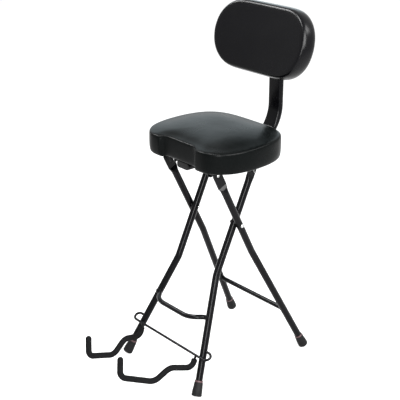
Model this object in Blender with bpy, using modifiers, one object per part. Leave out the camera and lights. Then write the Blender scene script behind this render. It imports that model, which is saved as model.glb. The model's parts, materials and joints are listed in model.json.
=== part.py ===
"""Folding guitar stool: an X frame of two leg pairs, a hinged seat with a bent back post,
a footrest bar and a folding guitar cradle.

Metres, +Z up. The floor is Z = 0, the user faces -Y and right is +X. The stool is modelled
with its crossing bolts above the X axis, then moved so that the origin is under its middle.
"""
import math

import bmesh
import bpy
from mathutils import Matrix, Vector

# Driving dimensions of the frame
GAP = 0.0003
PIVOT_HEIGHT = 0.4865
REAR_LEG_ANGLE = math.radians(26.8)
FRONT_LEG_ANGLE = math.radians(25.0)
OUTER_LEG_X = 0.1137
INNER_LEG_X = 0.0898
REAR_FOOT_X = 0.1743
FRONT_FOOT_X = 0.1741
REAR_BEND_HEIGHT = 0.3832
FRONT_BEND_HEIGHT = 0.3324
LEG_BEND_RADIUS = 0.090
SEAT_HINGE_HEIGHT = 0.6687
LATCH_BELOW_HINGE = 0.0167
OVERRUN = 0.002

# Leg tube, pressed flat at its top end
LEG_TUBE = 0.0222
LEG_PRESSED = 0.0045
REAR_CREASE_DROP = 0.043
FRONT_CREASE_DROP = 0.030
CREASE_LENGTH = 0.034
LEG_SIDES = 16

# Boots and trim rings, on each leg's own axis
BOOT_RADIUS = 0.0157
BOOT_TOP_RADIUS = 0.0134
BOOT_HEIGHT = 0.042
BOOT_LIP = 0.0015
BOOT_EDGE = 0.0025
BOOT_WEAR = 0.0012
BOOT_SOLE = 0.010
RING_RADIUS = 0.0127
RING_HEIGHT = 0.005

# Bolts where the legs cross
PIVOT_BOLT = 0.006
PIVOT_HEAD = 0.0115
PIVOT_HEAD_HEIGHT = 0.0035
PIVOT_NUT_ACROSS = 0.010
PIVOT_NUT_HEIGHT = 0.005
PIVOT_WASHER = 0.016
BOLT_TAIL = 0.0015
DOME_EDGE_SHARE = 0.35

# Bolts at the seat hinge
HINGE_BOLT = 0.006
HINGE_HEAD = 0.0105
HINGE_HEAD_HEIGHT = 0.0035
HINGE_NUT_ACROSS = 0.010
HINGE_NUT_HEIGHT = 0.005
HINGE_SPACER = 0.013

# Crossbar and footrest bar
BAR_TUBE = 0.0155
BAR_PRESSED = 0.0045
CROSSBAR_HEIGHT = 0.1543
FOOTREST_HEIGHT = 0.2155
FOOTREST_FRONT_Y = -0.171
FOOTREST_HALF_RUN = 0.072
FOOTREST_BEND_RADIUS = 0.065
FOOTREST_BITE = 0.0015
FOOTREST_TAB_IN = 0.012
FOOTREST_TAB_OUT = 0.0055
FOOTREST_SCREW = 0.004
FOOTREST_SCREW_HEAD = 0.008
FOOTREST_SCREW_HEAD_HEIGHT = 0.0022
FOOTREST_SCREW_REACH = 0.012

# Guitar cradle
CRADLE_PIVOT_HEIGHT = 0.1280
CRADLE_WIRE = 0.006
CRADLE_WIRE_CLEARANCE = 0.0015
CRADLE_WIRE_DROP = math.radians(36.0)
CRADLE_ARM_X = 0.1308
CRADLE_LOOP_X = 0.1640
CRADLE_LOOP_SWELL_SHARE = 1.25
CRADLE_TOE_IN = math.radians(11.8)
CRADLE_ROD = 0.006
CRADLE_SLEEVE = 0.0175
CRADLE_SLEEVE_WALL_AT_TIP = 0.012
CRADLE_BARE_STUB = 0.013
SLEEVE_SIDES = 10
SLEEVE_LIP_SHARE = 0.85
ARM_DIP = Vector((0.0139, 0.0758))
ARM_HUMP = Vector((0.0894, 0.0986))
ARM_LOW = Vector((0.1419, 0.0660))
ARM_REACH = Vector((0.2530, 0.1148))
ARM_TIP = Vector((0.2500, 0.1735))
ARM_DIP_RADIUS = 0.020
ARM_BEND_RADIUS = 0.036
ARM_END_RADIUS = 0.030

# Seat
SEAT_ABOVE_HINGE = 0.0193
SEAT_SIDE_RISE = 0.0635
SEAT_CROWN_RISE = 0.0145
SEAT_REAR_RISE = 0.006
SEAT_TUCK = 0.009
POCKET_CLEARANCE = 0.0008
SEAT_HALF_WIDTH = 0.1945
SEAT_FRONT_Y = -0.1515
SEAT_NOTCH_Y = -0.1335
SEAT_REAR_Y = 0.157
BOARD_INSET = 0.0185
BOARD_THICKNESS = 0.012

# Side channels under the seat
CHANNEL_WIDTH = 0.024
CHANNEL_WALL = 0.0025
CHANNEL_DEPTH = 0.024
CHANNEL_INNER_DEPTH = 0.022
CHANNEL_LOBE = 0.013
CHANNEL_LOBE_RUN = 0.022
CHANNEL_FRONT_RUN = 0.016
CHANNEL_REAR_RUN = 0.027
CHANNEL_SCREW = 0.005
CHANNEL_SCREW_HEAD = 0.010
CHANNEL_SCREW_HEAD_HEIGHT = 0.003
CHANNEL_SCREW_SHARE = 0.245
SCREW_IN_BOARD = 0.009

# Latch pins
LATCH_PIN = 0.006
LATCH_HOUSING = 0.012
LATCH_HOUSING_LENGTH = 0.0062
LATCH_HEAD = 0.0075
LATCH_HEAD_LENGTH = 0.005
LATCH_RING = 0.0222
LATCH_RING_WIRE = 0.0015
LATCH_EYE = 0.0024

# Back post, a flat oval tube
POST_WIDTH = 0.0505
POST_DEPTH = 0.0215
POST_CORNER = 0.0088
POST_WALL = 0.002
POST_FRONT_Y = -0.125
POST_REAR_Y = 0.256
POST_BEND_RADIUS = 0.1165
POST_HEIGHT = 0.336
POST_DIMPLE_RADIUS = 0.016
POST_DIMPLE_DEPTH = 0.0012
POST_DIMPLE_TURN = math.radians(52.0)
PLUG_FLANGE = 0.003
PLUG_DEPTH = 0.012
POST_BOLT = 0.006
POST_BOLT_HEAD = 0.013
POST_BOLT_HEAD_HEIGHT = 0.004
POST_BOLT_FRONT_Y = -0.080
POST_BOLT_REAR_Y = 0.092

# Backrest
BACK_RECLINE = math.radians(15.0)
BACK_FRONT_Y = 0.1759
BACK_CENTRE_RISE = 0.3246
BACK_HALF_WIDTH = 0.1920
BACK_HALF_HEIGHT = 0.1060
BACK_CORNER = 0.100
BACK_THICKNESS = 0.058
BACK_CURVE = 0.015
BACK_CORNER_STEPS = 4
BACK_TUCK = 0.0125
BACK_BOARD_INSET = 0.010
BACK_BOARD_THICKNESS = 0.009
BRACKET_PLATE = 0.003
BRACKET_HALF_WIDTH = 0.046
BRACKET_HALF_HEIGHT = 0.040
BRACKET_CENTRE_DROP = 0.030
RIVET = 0.006
RIVET_HEAD = 0.012
RIVET_HEAD_HEIGHT = 0.003
RIVET_SPREAD = 0.036
PLATE_SCREW = 0.004
PLATE_SCREW_HEAD = 0.009
PLATE_SCREW_HEAD_HEIGHT = 0.0025
PLATE_SCREW_X = 0.038
PLATE_SCREW_REACH = 0.006

# Worked out from the driving dimensions
RIGHT = 1
LEFT = -1
leg_radius = LEG_TUBE / 2
bar_radius = BAR_TUBE / 2
wire_radius = CRADLE_WIRE / 2
seat_hinge_y = -(SEAT_HINGE_HEIGHT - PIVOT_HEIGHT) * math.tan(REAR_LEG_ANGLE)
latch_height = SEAT_HINGE_HEIGHT - LATCH_BELOW_HINGE
latch_y = (latch_height - PIVOT_HEIGHT) * math.tan(FRONT_LEG_ANGLE)
seat_underside = SEAT_HINGE_HEIGHT + SEAT_ABOVE_HINGE
socket_radius = leg_radius + GAP

for thing in list(bpy.data.objects):
    bpy.data.objects.remove(thing, do_unlink=True)

stool = bpy.data.collections.new("guitar_stool")
bpy.context.scene.collection.children.link(stool)
cutters = bpy.data.collections.new("cutters")
bpy.context.scene.collection.children.link(cutters)


def surface(name, colour, roughness, metallic=0.0):
    """A plain Principled finish."""
    material = bpy.data.materials.new(name)
    material.use_nodes = True
    shader = material.node_tree.nodes["Principled BSDF"]
    shader.inputs["Base Color"].default_value = (*colour, 1.0)
    shader.inputs["Roughness"].default_value = roughness
    shader.inputs["Metallic"].default_value = metallic
    return material


black_enamel = surface("black_enamel", (0.012, 0.012, 0.013), 0.28)
zinc_steel = surface("zinc_steel", (0.62, 0.62, 0.60), 0.32, 1.0)
black_rubber = surface("black_rubber", (0.022, 0.022, 0.023), 0.75)
rose_trim = surface("rose_trim", (0.30, 0.055, 0.060), 0.50)
black_vinyl = surface("black_vinyl", (0.014, 0.014, 0.015), 0.22)
painted_board = surface("painted_board", (0.020, 0.019, 0.018), 0.70)
black_plastic = surface("black_plastic", (0.018, 0.018, 0.019), 0.45)
sleeve_foam = surface("sleeve_foam", (0.016, 0.016, 0.017), 0.65)


def axis_empty(name, place):
    """An empty on a joint's axis, which carries the pieces that turn or slide with it."""
    empty = bpy.data.objects.new(name, None)
    empty.location = place
    stool.objects.link(empty)
    return empty


rear_frame = axis_empty("rear_frame_origin", Vector((0, 0, 0)))
front_frame = axis_empty("crossing_axis", Vector((0, 0, PIVOT_HEIGHT)))
seat_frame = axis_empty("seat_hinge_axis", Vector((0, seat_hinge_y, SEAT_HINGE_HEIGHT)))


def finish(obj, material, parent):
    """Give an object its material, its collection and the empty that carries it."""
    if obj.data.materials:
        obj.data.materials[0] = material
    else:
        obj.data.materials.append(material)
    for holder in obj.users_collection:
        holder.objects.unlink(obj)
    stool.objects.link(obj)
    obj.parent = parent
    obj.matrix_parent_inverse = Matrix.Translation(parent.location).inverted()
    return obj


def mesh_object(name, bm, sharp=math.radians(35.0)):
    """Turn a bmesh into an object with smooth faces and sharp creases."""
    mesh = bpy.data.meshes.new(name)
    bm.to_mesh(mesh)
    bm.free()
    mesh.shade_smooth()
    mesh.set_sharp_from_angle(angle=sharp)
    obj = bpy.data.objects.new(name, mesh)
    stool.objects.link(obj)
    return obj


def aim(obj, place, direction):
    """Put an object at a place with its Z axis along a direction."""
    obj.location = place
    obj.rotation_mode = "QUATERNION"
    obj.rotation_quaternion = Vector((0, 0, 1)).rotation_difference(direction)
    return obj


def cylinder(name, place, direction, radius, length, sides=12):
    """A cylinder that starts at place and runs along direction."""
    bm = bmesh.new()
    bmesh.ops.create_cone(bm, cap_ends=True, segments=sides, radius1=radius, radius2=radius, depth=length)
    bmesh.ops.translate(bm, verts=bm.verts, vec=(0, 0, length / 2))
    return aim(mesh_object(name, bm), place, direction)


def turned(name, profile, place, direction, steps=14, closed=False):
    """A profile of (radius, height) points, outer side downwards, turned round the Z axis."""
    mesh = bpy.data.meshes.new(name)
    points = [(radius, 0, height) for radius, height in profile]
    edges = [(i, i + 1) for i in range(len(points) - 1)]
    if closed:
        edges.append((len(points) - 1, 0))
    mesh.from_pydata(points, edges, [])
    obj = bpy.data.objects.new(name, mesh)
    stool.objects.link(obj)
    screw = obj.modifiers.new("Turn", "SCREW")
    screw.steps = steps
    screw.render_steps = steps
    screw.use_merge_vertices = True
    screw.merge_threshold = 0.0001
    screw.use_smooth_shade = True
    return aim(obj, place, direction)


def box(name, low, high):
    """A box between two corners."""
    low = Vector(low)
    high = Vector(high)
    bm = bmesh.new()
    bmesh.ops.create_cube(bm, size=1)
    bmesh.ops.scale(bm, vec=high - low, verts=bm.verts)
    bmesh.ops.translate(bm, vec=(low + high) / 2, verts=bm.verts)
    return mesh_object(name, bm)


def as_cutter(obj):
    """Move an object to the cutters, out of the model."""
    for holder in obj.users_collection:
        holder.objects.unlink(obj)
    cutters.objects.link(obj)
    obj.hide_render = True
    obj.display_type = "WIRE"
    return obj


def boolean(obj, other, operation="DIFFERENCE"):
    """Cut an object with a cutter, or join the cutter to it."""
    modifier = obj.modifiers.new(operation.title(), "BOOLEAN")
    modifier.operation = operation
    modifier.solver = "EXACT"
    modifier.object = as_cutter(other)
    return obj


def hole(obj, place, direction, diameter, length):
    """Drill a round hole, with a running gap, from place along direction."""
    start = Vector(place) - Vector(direction).normalized() * OVERRUN
    drill = cylinder(obj.name + "_hole", start, direction, diameter / 2 + GAP, length + OVERRUN)
    return boolean(obj, drill)


def rounded_path(corners, radii, steps):
    """Straight runs between corners, joined by tangent arcs of the given radii."""
    points = [corners[0].copy()]
    for before, corner, after, radius in zip(corners, corners[1:], corners[2:], radii):
        back = (before - corner).normalized()
        ahead = (after - corner).normalized()
        half = back.angle(ahead) / 2
        centre = corner + (back + ahead).normalized() * (radius / math.sin(half))
        start = corner + back * (radius / math.tan(half)) - centre
        turn = math.pi - 2 * half
        axis = back.cross(ahead).normalized()
        for step in range(steps + 1):
            points.append(centre + Matrix.Rotation(-turn * step / steps, 3, axis) @ start)
    points.append(corners[-1].copy())
    return points


def path_tangents(points):
    """The direction of travel at each point of a path."""
    tangents = []
    for i in range(len(points)):
        before = points[max(i - 1, 0)]
        after = points[min(i + 1, len(points) - 1)]
        tangents.append((after - before).normalized())
    return tangents


def tube_curve(name, points, diameter, resolution):
    """A round rod or wire along a path."""
    curve = bpy.data.curves.new(name, "CURVE")
    curve.dimensions = "3D"
    curve.bevel_depth = diameter / 2
    curve.bevel_resolution = resolution
    curve.use_fill_caps = True
    spline = curve.splines.new("POLY")
    spline.points.add(len(points) - 1)
    for point, place in zip(spline.points, points):
        point.co = (*place, 1.0)
    obj = bpy.data.objects.new(name, curve)
    stool.objects.link(obj)
    return obj


def curve_to_mesh(obj):
    """Replace a curve with the closed mesh that it draws."""
    bpy.context.view_layer.update()
    mesh = bpy.data.meshes.new_from_object(obj.evaluated_get(bpy.context.evaluated_depsgraph_get()))
    bm = bmesh.new()
    bm.from_mesh(mesh)
    bmesh.ops.remove_doubles(bm, verts=bm.verts, dist=0.00001)
    bmesh.ops.recalc_face_normals(bm, faces=bm.faces)
    name = obj.name
    placed = obj.matrix_world.copy()
    bpy.data.objects.remove(obj, do_unlink=True)
    bpy.data.meshes.remove(mesh)
    solid = mesh_object(name, bm)
    solid.matrix_world = placed
    return solid


def flat_outline(name, points, thickness):
    """A flat closed outline in its own XY plane, thickened both ways from it."""
    curve = bpy.data.curves.new(name, "CURVE")
    curve.dimensions = "2D"
    curve.fill_mode = "BOTH"
    curve.extrude = thickness / 2
    spline = curve.splines.new("POLY")
    spline.points.add(len(points) - 1)
    for point, place in zip(spline.points, points):
        point.co = (place[0], place[1], 0, 1)
    spline.use_cyclic_u = True
    obj = bpy.data.objects.new(name, curve)
    stool.objects.link(obj)
    return obj


def side_plate(name, outline, middle_x, thickness):
    """A plate with its outline drawn in Y and Z, square to the X axis."""
    obj = flat_outline(name, outline, thickness)
    obj.rotation_euler = (math.pi / 2, 0, math.pi / 2)
    obj.location = (middle_x, 0, 0)
    return curve_to_mesh(obj)


def arc(centre_y, centre_z, radius, start, end, steps):
    """Points of an arc in Y and Z, from one angle to another in degrees."""
    points = []
    for step in range(steps + 1):
        angle = math.radians(start + (end - start) * step / steps)
        points.append((centre_y + radius * math.cos(angle), centre_z + radius * math.sin(angle)))
    return points


def flat_oval(width, thickness, sides):
    """Evenly spaced points round a flat oval; a circle when width and thickness are equal."""
    run = max(width - thickness, 0)
    bend = thickness / 2
    quarter = math.pi * bend / 2
    girth = 2 * run + 4 * quarter
    points = []
    for i in range(sides):
        along = girth * i / sides
        mirror = 1
        if along > girth / 2:
            along = girth - along
            mirror = -1
        if along <= quarter:
            angle = along / bend
            points.append((run / 2 + bend * math.cos(angle), mirror * bend * math.sin(angle)))
        elif along <= quarter + run:
            points.append((run / 2 - (along - quarter), mirror * bend))
        else:
            angle = (along - run) / bend
            points.append((-run / 2 + bend * math.cos(angle), mirror * bend * math.sin(angle)))
    return points


def pressed_width(diameter, thickness):
    """The width of a round tube pressed to a thickness: its girth stays the same."""
    return thickness + math.pi * (diameter - thickness) / 2


def ring(place, tangent, thin_way, width, thickness, sides):
    """One section of a pressed tube; thin_way is the direction that it is pressed in."""
    thin = (thin_way - tangent * thin_way.dot(tangent)).normalized()
    wide = tangent.cross(thin)
    return [place + wide * a + thin * b for a, b in flat_oval(width, thickness, sides)]


def loft(name, rings, open_start=False):
    """A closed skin over a row of rings, capped at its ends."""
    bm = bmesh.new()
    loops = [[bm.verts.new(point) for point in points] for points in rings]
    for near, far in zip(loops, loops[1:]):
        count = len(near)
        for i in range(count):
            bm.faces.new((near[i], near[(i + 1) % count], far[(i + 1) % count], far[i]))
    if not open_start:
        bm.faces.new(loops[0])
    bm.faces.new(loops[-1])
    bmesh.ops.recalc_face_normals(bm, faces=bm.faces)
    return mesh_object(name, bm)


def rear_axis(height, side):
    """The point of a rear leg's centre line at a height."""
    x = OUTER_LEG_X
    if height < REAR_BEND_HEIGHT:
        x = REAR_FOOT_X + (OUTER_LEG_X - REAR_FOOT_X) * height / REAR_BEND_HEIGHT
    return Vector((side * x, (PIVOT_HEIGHT - height) * math.tan(REAR_LEG_ANGLE), height))


def front_axis(height, side):
    """The point of a front leg's centre line at a height."""
    x = INNER_LEG_X
    if height < FRONT_BEND_HEIGHT:
        x = FRONT_FOOT_X + (INNER_LEG_X - FRONT_FOOT_X) * height / FRONT_BEND_HEIGHT
    return Vector((side * x, -(PIVOT_HEIGHT - height) * math.tan(FRONT_LEG_ANGLE), height))


def leg_way(axis, side):
    """The direction of a leg's lower run, pointing up."""
    return (axis(FRONT_BEND_HEIGHT / 2, side) - axis(0, side)).normalized()


def boot_base(axis, side):
    """The middle of a boot's flat end: its lower edge is worn flat on the floor."""
    way = leg_way(axis, side)
    tilt = way.angle(Vector((0, 0, 1)))
    height = (BOOT_RADIUS - BOOT_EDGE) * math.sin(tilt) + BOOT_EDGE * (1 - math.cos(tilt)) - BOOT_WEAR
    return axis(height, side)


def foot_end(axis, side):
    """Where a leg tube ends, inside its boot."""
    return boot_base(axis, side) + leg_way(axis, side) * BOOT_SOLE


def leg(name, axis, side, bend_height, eye_height, crease_drop):
    """A tube bent outward below the crossing, with a flat round end about its top bolt."""
    eye = axis(eye_height, side)
    way_up = (eye - axis(bend_height, side)).normalized()
    corners = [foot_end(axis, side), axis(bend_height, side), eye]
    path = rounded_path(corners, [LEG_BEND_RADIUS], 6)[:-1]
    thin_way = Vector((1, 0, 0))
    rings = []
    for place, tangent in zip(path, path_tangents(path)):
        rings.append(ring(place, tangent, thin_way, LEG_TUBE, LEG_TUBE, LEG_SIDES))
    flat_width = pressed_width(LEG_TUBE, LEG_PRESSED)
    crease_shares = (1.0, 0.72, 0.46, 0.24, 0.10, 0.0)
    pressed_shares = (0.0, 0.06, 0.22, 0.50, 0.80, 1.0)
    for run_share, pressed_share in zip(crease_shares, pressed_shares):
        place = eye - way_up * (crease_drop + CREASE_LENGTH * run_share)
        thickness = LEG_TUBE + (LEG_PRESSED - LEG_TUBE) * pressed_share
        rings.append(ring(place, way_up, thin_way, pressed_width(LEG_TUBE, thickness), thickness, LEG_SIDES))
    end_turns = 5
    for step in range(end_turns):
        angle = math.radians(82.0) * step / (end_turns - 1)
        place = eye + way_up * (flat_width / 2 * math.sin(angle))
        width = flat_width * math.cos(angle)
        rings.append(ring(place, way_up, thin_way, width, LEG_PRESSED, LEG_SIDES))
    return loft(name, rings)


def boot(name, axis, side, parent):
    """A rubber boot turned on the leg's axis, worn flat where its edge meets the floor."""
    socket_floor = BOOT_SOLE - GAP
    profile = [(0, socket_floor), (socket_radius, socket_floor), (socket_radius, BOOT_HEIGHT)]
    profile.append((BOOT_TOP_RADIUS - BOOT_LIP / 2, BOOT_HEIGHT))
    profile.append((BOOT_TOP_RADIUS, BOOT_HEIGHT - BOOT_LIP))
    profile.append((BOOT_RADIUS, BOOT_HEIGHT / 3))
    turns = 3
    for step in range(turns + 1):
        angle = math.radians(90.0) * step / turns
        radius = BOOT_RADIUS - BOOT_EDGE * (1 - math.cos(angle))
        profile.append((radius, BOOT_EDGE * (1 - math.sin(angle))))
    profile.append((0, 0))
    obj = turned(name, profile, boot_base(axis, side), leg_way(axis, side), steps=20)
    floor = box(name + "_floor", (-REAR_FOOT_X * 2, -REAR_FOOT_X * 2, -BOOT_RADIUS),
                (REAR_FOOT_X * 2, REAR_FOOT_X * 2, 0))
    return finish(boolean(obj, floor), black_rubber, parent)


def trim_ring(name, axis, side, parent):
    """The coloured ring that sits on a boot's top edge."""
    low = BOOT_HEIGHT + GAP
    high = low + RING_HEIGHT
    profile = [(RING_RADIUS, high), (RING_RADIUS, low), (socket_radius, low), (socket_radius, high)]
    obj = turned(name, profile, boot_base(axis, side), leg_way(axis, side), closed=True)
    return finish(obj, rose_trim, parent)


def round_bolt(name, place, direction, shank, reach, head, head_height):
    """A bolt with a low domed head; place is under the head and direction runs down the shank."""
    dome = []
    turns = 3
    for step in range(turns + 1):
        angle = math.radians(90.0) * step / turns
        rise_share = DOME_EDGE_SHARE + (1 - DOME_EDGE_SHARE) * math.cos(angle)
        dome.append((head / 2 * math.sin(angle), head_height * rise_share))
    profile = dome + [(head / 2, 0), (shank / 2, 0), (shank / 2, -reach), (0, -reach)]
    return turned(name, profile, place, -direction, steps=10)


def washer(name, place, direction, outer, bore, length):
    """A flat ring or spacer that starts at place and runs along direction."""
    profile = [(outer / 2, length), (outer / 2, 0), (bore / 2 + GAP, 0), (bore / 2 + GAP, length)]
    return turned(name, profile, place, direction, closed=True)


def hex_nut(name, place, direction, across, bore, height):
    """A hexagon nut that starts at place and runs along direction."""
    corner = across / math.sqrt(3.0)
    nut = cylinder(name, place, direction, corner, height, sides=6)
    return hole(nut, place, direction, bore, height + OVERRUN)


# Rear legs, outside at the crossing
rear_legs = {}
for side, hand in ((LEFT, "left"), (RIGHT, "right")):
    obj = leg("rear_leg_" + hand, rear_axis, side, REAR_BEND_HEIGHT, SEAT_HINGE_HEIGHT, REAR_CREASE_DROP)
    rear_legs[side] = finish(obj, black_enamel, rear_frame)
    boot("rear_boot_" + hand, rear_axis, side, rear_frame)
    trim_ring("rear_ring_" + hand, rear_axis, side, rear_frame)

# Rear crossbar, its ends coped round the legs
bar_end = rear_axis(CROSSBAR_HEIGHT, LEFT)
crossbar = cylinder("rear_crossbar", bar_end, Vector((1, 0, 0)), bar_radius, -2 * bar_end.x, sides=16)
for side in (LEFT, RIGHT):
    way = leg_way(rear_axis, side)
    below = rear_axis(CROSSBAR_HEIGHT, side) - way * LEG_TUBE
    boolean(crossbar, cylinder("crossbar_cope", below, way, leg_radius + GAP, LEG_TUBE * 2, sides=24))
finish(crossbar, black_enamel, rear_frame)

# Front legs, inside at the crossing
front_legs = {}
for side, hand in ((LEFT, "left"), (RIGHT, "right")):
    obj = leg("front_leg_" + hand, front_axis, side, FRONT_BEND_HEIGHT, latch_height, FRONT_CREASE_DROP)
    front_legs[side] = finish(obj, black_enamel, front_frame)
    boot("front_boot_" + hand, front_axis, side, front_frame)
    trim_ring("front_ring_" + hand, front_axis, side, front_frame)

# Bolts, nuts and washers where the legs cross
outer_face = OUTER_LEG_X + leg_radius
inner_face = INNER_LEG_X - leg_radius
leg_space = OUTER_LEG_X - INNER_LEG_X - LEG_TUBE
for side, hand in ((LEFT, "left"), (RIGHT, "right")):
    inward = Vector((-side, 0, 0))
    under_head = Vector((side * (outer_face + GAP), 0, PIVOT_HEIGHT))
    reach = outer_face - inner_face + 3 * GAP + PIVOT_NUT_HEIGHT + BOLT_TAIL
    name = "pivot_bolt_" + hand
    obj = round_bolt(name, under_head, inward, PIVOT_BOLT, reach, PIVOT_HEAD, PIVOT_HEAD_HEIGHT)
    finish(obj, zinc_steel, rear_frame)
    hole(rear_legs[side], under_head, inward, PIVOT_BOLT, LEG_TUBE + OVERRUN)
    hole(front_legs[side], Vector((side * (INNER_LEG_X + leg_radius), 0, PIVOT_HEIGHT)), inward, PIVOT_BOLT,
         LEG_TUBE + OVERRUN)
    nut_place = Vector((side * (inner_face - GAP), 0, PIVOT_HEIGHT))
    nut = hex_nut("pivot_nut_" + hand, nut_place, inward, PIVOT_NUT_ACROSS, PIVOT_BOLT, PIVOT_NUT_HEIGHT)
    finish(nut, black_enamel, rear_frame)
    between = Vector((side * (OUTER_LEG_X - leg_radius - GAP), 0, PIVOT_HEIGHT))
    obj = washer("pivot_washer_" + hand, between, inward, PIVOT_WASHER, PIVOT_BOLT, leg_space - 2 * GAP)
    finish(obj, black_plastic, rear_frame)

# Seat hinge bolts, spacers and nuts
hinge = Vector((0, seat_hinge_y, SEAT_HINGE_HEIGHT))
pressed_half = LEG_PRESSED / 2
channel_face = INNER_LEG_X - pressed_half - GAP
for side, hand in ((LEFT, "left"), (RIGHT, "right")):
    inward = Vector((-side, 0, 0))
    outside = OUTER_LEG_X + pressed_half + GAP
    inside = channel_face - CHANNEL_WALL - GAP
    reach = outside - inside + HINGE_NUT_HEIGHT + BOLT_TAIL
    under_head = hinge + Vector((side * outside, 0, 0))
    name = "hinge_bolt_" + hand
    obj = round_bolt(name, under_head, inward, HINGE_BOLT, reach, HINGE_HEAD, HINGE_HEAD_HEIGHT)
    finish(obj, zinc_steel, rear_frame)
    hole(rear_legs[side], under_head, inward, HINGE_BOLT, LEG_PRESSED + 2 * OVERRUN)
    spacer_out = OUTER_LEG_X - pressed_half - GAP
    spacer_length = spacer_out - channel_face - GAP
    obj = washer("hinge_spacer_" + hand, hinge + Vector((side * spacer_out, 0, 0)), inward, HINGE_SPACER,
                 HINGE_BOLT, spacer_length)
    finish(obj, black_plastic, rear_frame)
    nut_place = hinge + Vector((side * inside, 0, 0))
    nut = hex_nut("hinge_nut_" + hand, nut_place, inward, HINGE_NUT_ACROSS, HINGE_BOLT, HINGE_NUT_HEIGHT)
    finish(nut, zinc_steel, rear_frame)

# Footrest bar: a tube whose ends are pressed flat and lie across the front of the legs
foot_way = leg_way(front_axis, RIGHT)
foot_out = (Vector((0, -1, 0)) - foot_way * Vector((0, -1, 0)).dot(foot_way)).normalized()
foot_across = foot_out.cross(foot_way).normalized()
if foot_across.x < 0:
    foot_across = -foot_across
tab_stand = leg_radius + BAR_PRESSED / 2 - FOOTREST_BITE
footrest_on_leg = front_axis(FOOTREST_HEIGHT, RIGHT) + foot_out * tab_stand
footrest_corners = [
    Vector((0, FOOTREST_FRONT_Y, FOOTREST_HEIGHT)),
    Vector((FOOTREST_HALF_RUN, FOOTREST_FRONT_Y, FOOTREST_HEIGHT)),
    footrest_on_leg - foot_across * FOOTREST_TAB_IN,
    footrest_on_leg + foot_across * FOOTREST_TAB_OUT,
]
footrest_path = rounded_path(footrest_corners, [FOOTREST_BEND_RADIUS, FOOTREST_TAB_IN], 4)
footrest_ways = path_tangents(footrest_path)
bar_pressed_shares = (0, 0, 0, 0, 0, 0.12, 0.62, 1, 1, 1, 1, 1)
tab_trim_shares = (1, 1, 1, 1, 1, 1, 0.92, 0.82, 0.76, 0.74, 0.73, 0.72)
footrest_rings = []
for place, tangent, share, trim in zip(footrest_path, footrest_ways, bar_pressed_shares, tab_trim_shares):
    thickness = BAR_TUBE + (BAR_PRESSED - BAR_TUBE) * share
    width = pressed_width(BAR_TUBE, thickness) * trim
    footrest_rings.append(ring(place, tangent, foot_out, width, thickness, 12))
for point in footrest_rings[0]:
    point.x = 0
footrest = loft("footrest_bar", footrest_rings, open_start=True)
mirror = footrest.modifiers.new("Mirror", "MIRROR")
mirror.merge_threshold = 0.0001
for side, hand in ((LEFT, "left"), (RIGHT, "right")):
    flip = Vector((side, 1, 1))
    out = foot_out * flip
    start = front_axis(FOOTREST_HEIGHT, side) - leg_way(front_axis, side) * LEG_TUBE
    along_leg = leg_way(front_axis, side)
    saddle = cylinder("footrest_saddle", start, along_leg, leg_radius + GAP, LEG_TUBE * 2, sides=24)
    boolean(footrest, saddle)
    screw_place = footrest_on_leg * flip + out * (BAR_PRESSED / 2 + GAP)
    obj = round_bolt("footrest_screw_" + hand, screw_place, -out, FOOTREST_SCREW,
                     BAR_PRESSED + FOOTREST_SCREW_REACH, FOOTREST_SCREW_HEAD, FOOTREST_SCREW_HEAD_HEIGHT)
    finish(obj, black_enamel, front_frame)
    hole(footrest, screw_place, -out, FOOTREST_SCREW, BAR_PRESSED + 2 * OVERRUN)
    hole(front_legs[side], screw_place, -out, FOOTREST_SCREW, BAR_PRESSED + FOOTREST_SCREW_REACH + 2 * GAP)
finish(footrest, black_enamel, front_frame)

# Cradle wire: a cross run in front of the legs whose ends turn back into holes in their sides
cradle_axis_right = front_axis(CRADLE_PIVOT_HEIGHT, RIGHT)
cradle_frame = axis_empty("cradle_axis", Vector((0, cradle_axis_right.y, CRADLE_PIVOT_HEIGHT)))
cradle_frame.parent = front_frame
cradle_frame.matrix_parent_inverse = Matrix.Translation(front_frame.location).inverted()
front_slope = Vector((0, math.sin(FRONT_LEG_ANGLE), math.cos(FRONT_LEG_ANGLE)))
front_normal = Vector((0, -math.cos(FRONT_LEG_ANGLE), math.sin(FRONT_LEG_ANGLE)))
wire_stand = leg_radius + wire_radius + CRADLE_WIRE_CLEARANCE
loop_reach = wire_stand / math.sin(CRADLE_WIRE_DROP)
wire_offset = front_normal * wire_stand - front_slope * (loop_reach * math.cos(CRADLE_WIRE_DROP))
wire_low = cradle_frame.location + wire_offset


def cradle_end(side):
    """Half of the wire, from the middle of its cross run to its end inside the leg."""
    pivot = cradle_frame.location.copy()
    half_reach = wire_offset.length / 2
    middle = (pivot + wire_low) / 2
    down = wire_offset.normalized()
    points = [Vector((side * CRADLE_LOOP_X / 3, wire_low.y, wire_low.z))]
    turns = 12
    for step in range(turns + 1):
        angle = math.pi * step / turns
        swell = half_reach * CRADLE_LOOP_SWELL_SHARE * math.sin(angle)
        place = middle + down * (half_reach * math.cos(angle))
        points.append(Vector((side * (CRADLE_LOOP_X + swell), place.y, place.z)))
    points.append(Vector((side * (cradle_axis_right.x + wire_radius), pivot.y, pivot.z)))
    return points


wire_path = cradle_end(LEFT)[::-1] + cradle_end(RIGHT)
wire = tube_curve("cradle_wire", wire_path, CRADLE_WIRE, 2)
finish(wire, black_enamel, cradle_frame)
for side in (LEFT, RIGHT):
    outside = cradle_axis_right.x + LEG_TUBE
    start = Vector((side * outside, cradle_axis_right.y, CRADLE_PIVOT_HEIGHT))
    hole(front_legs[side], start, Vector((-side, 0, 0)), CRADLE_WIRE, outside - cradle_axis_right.x)


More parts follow.
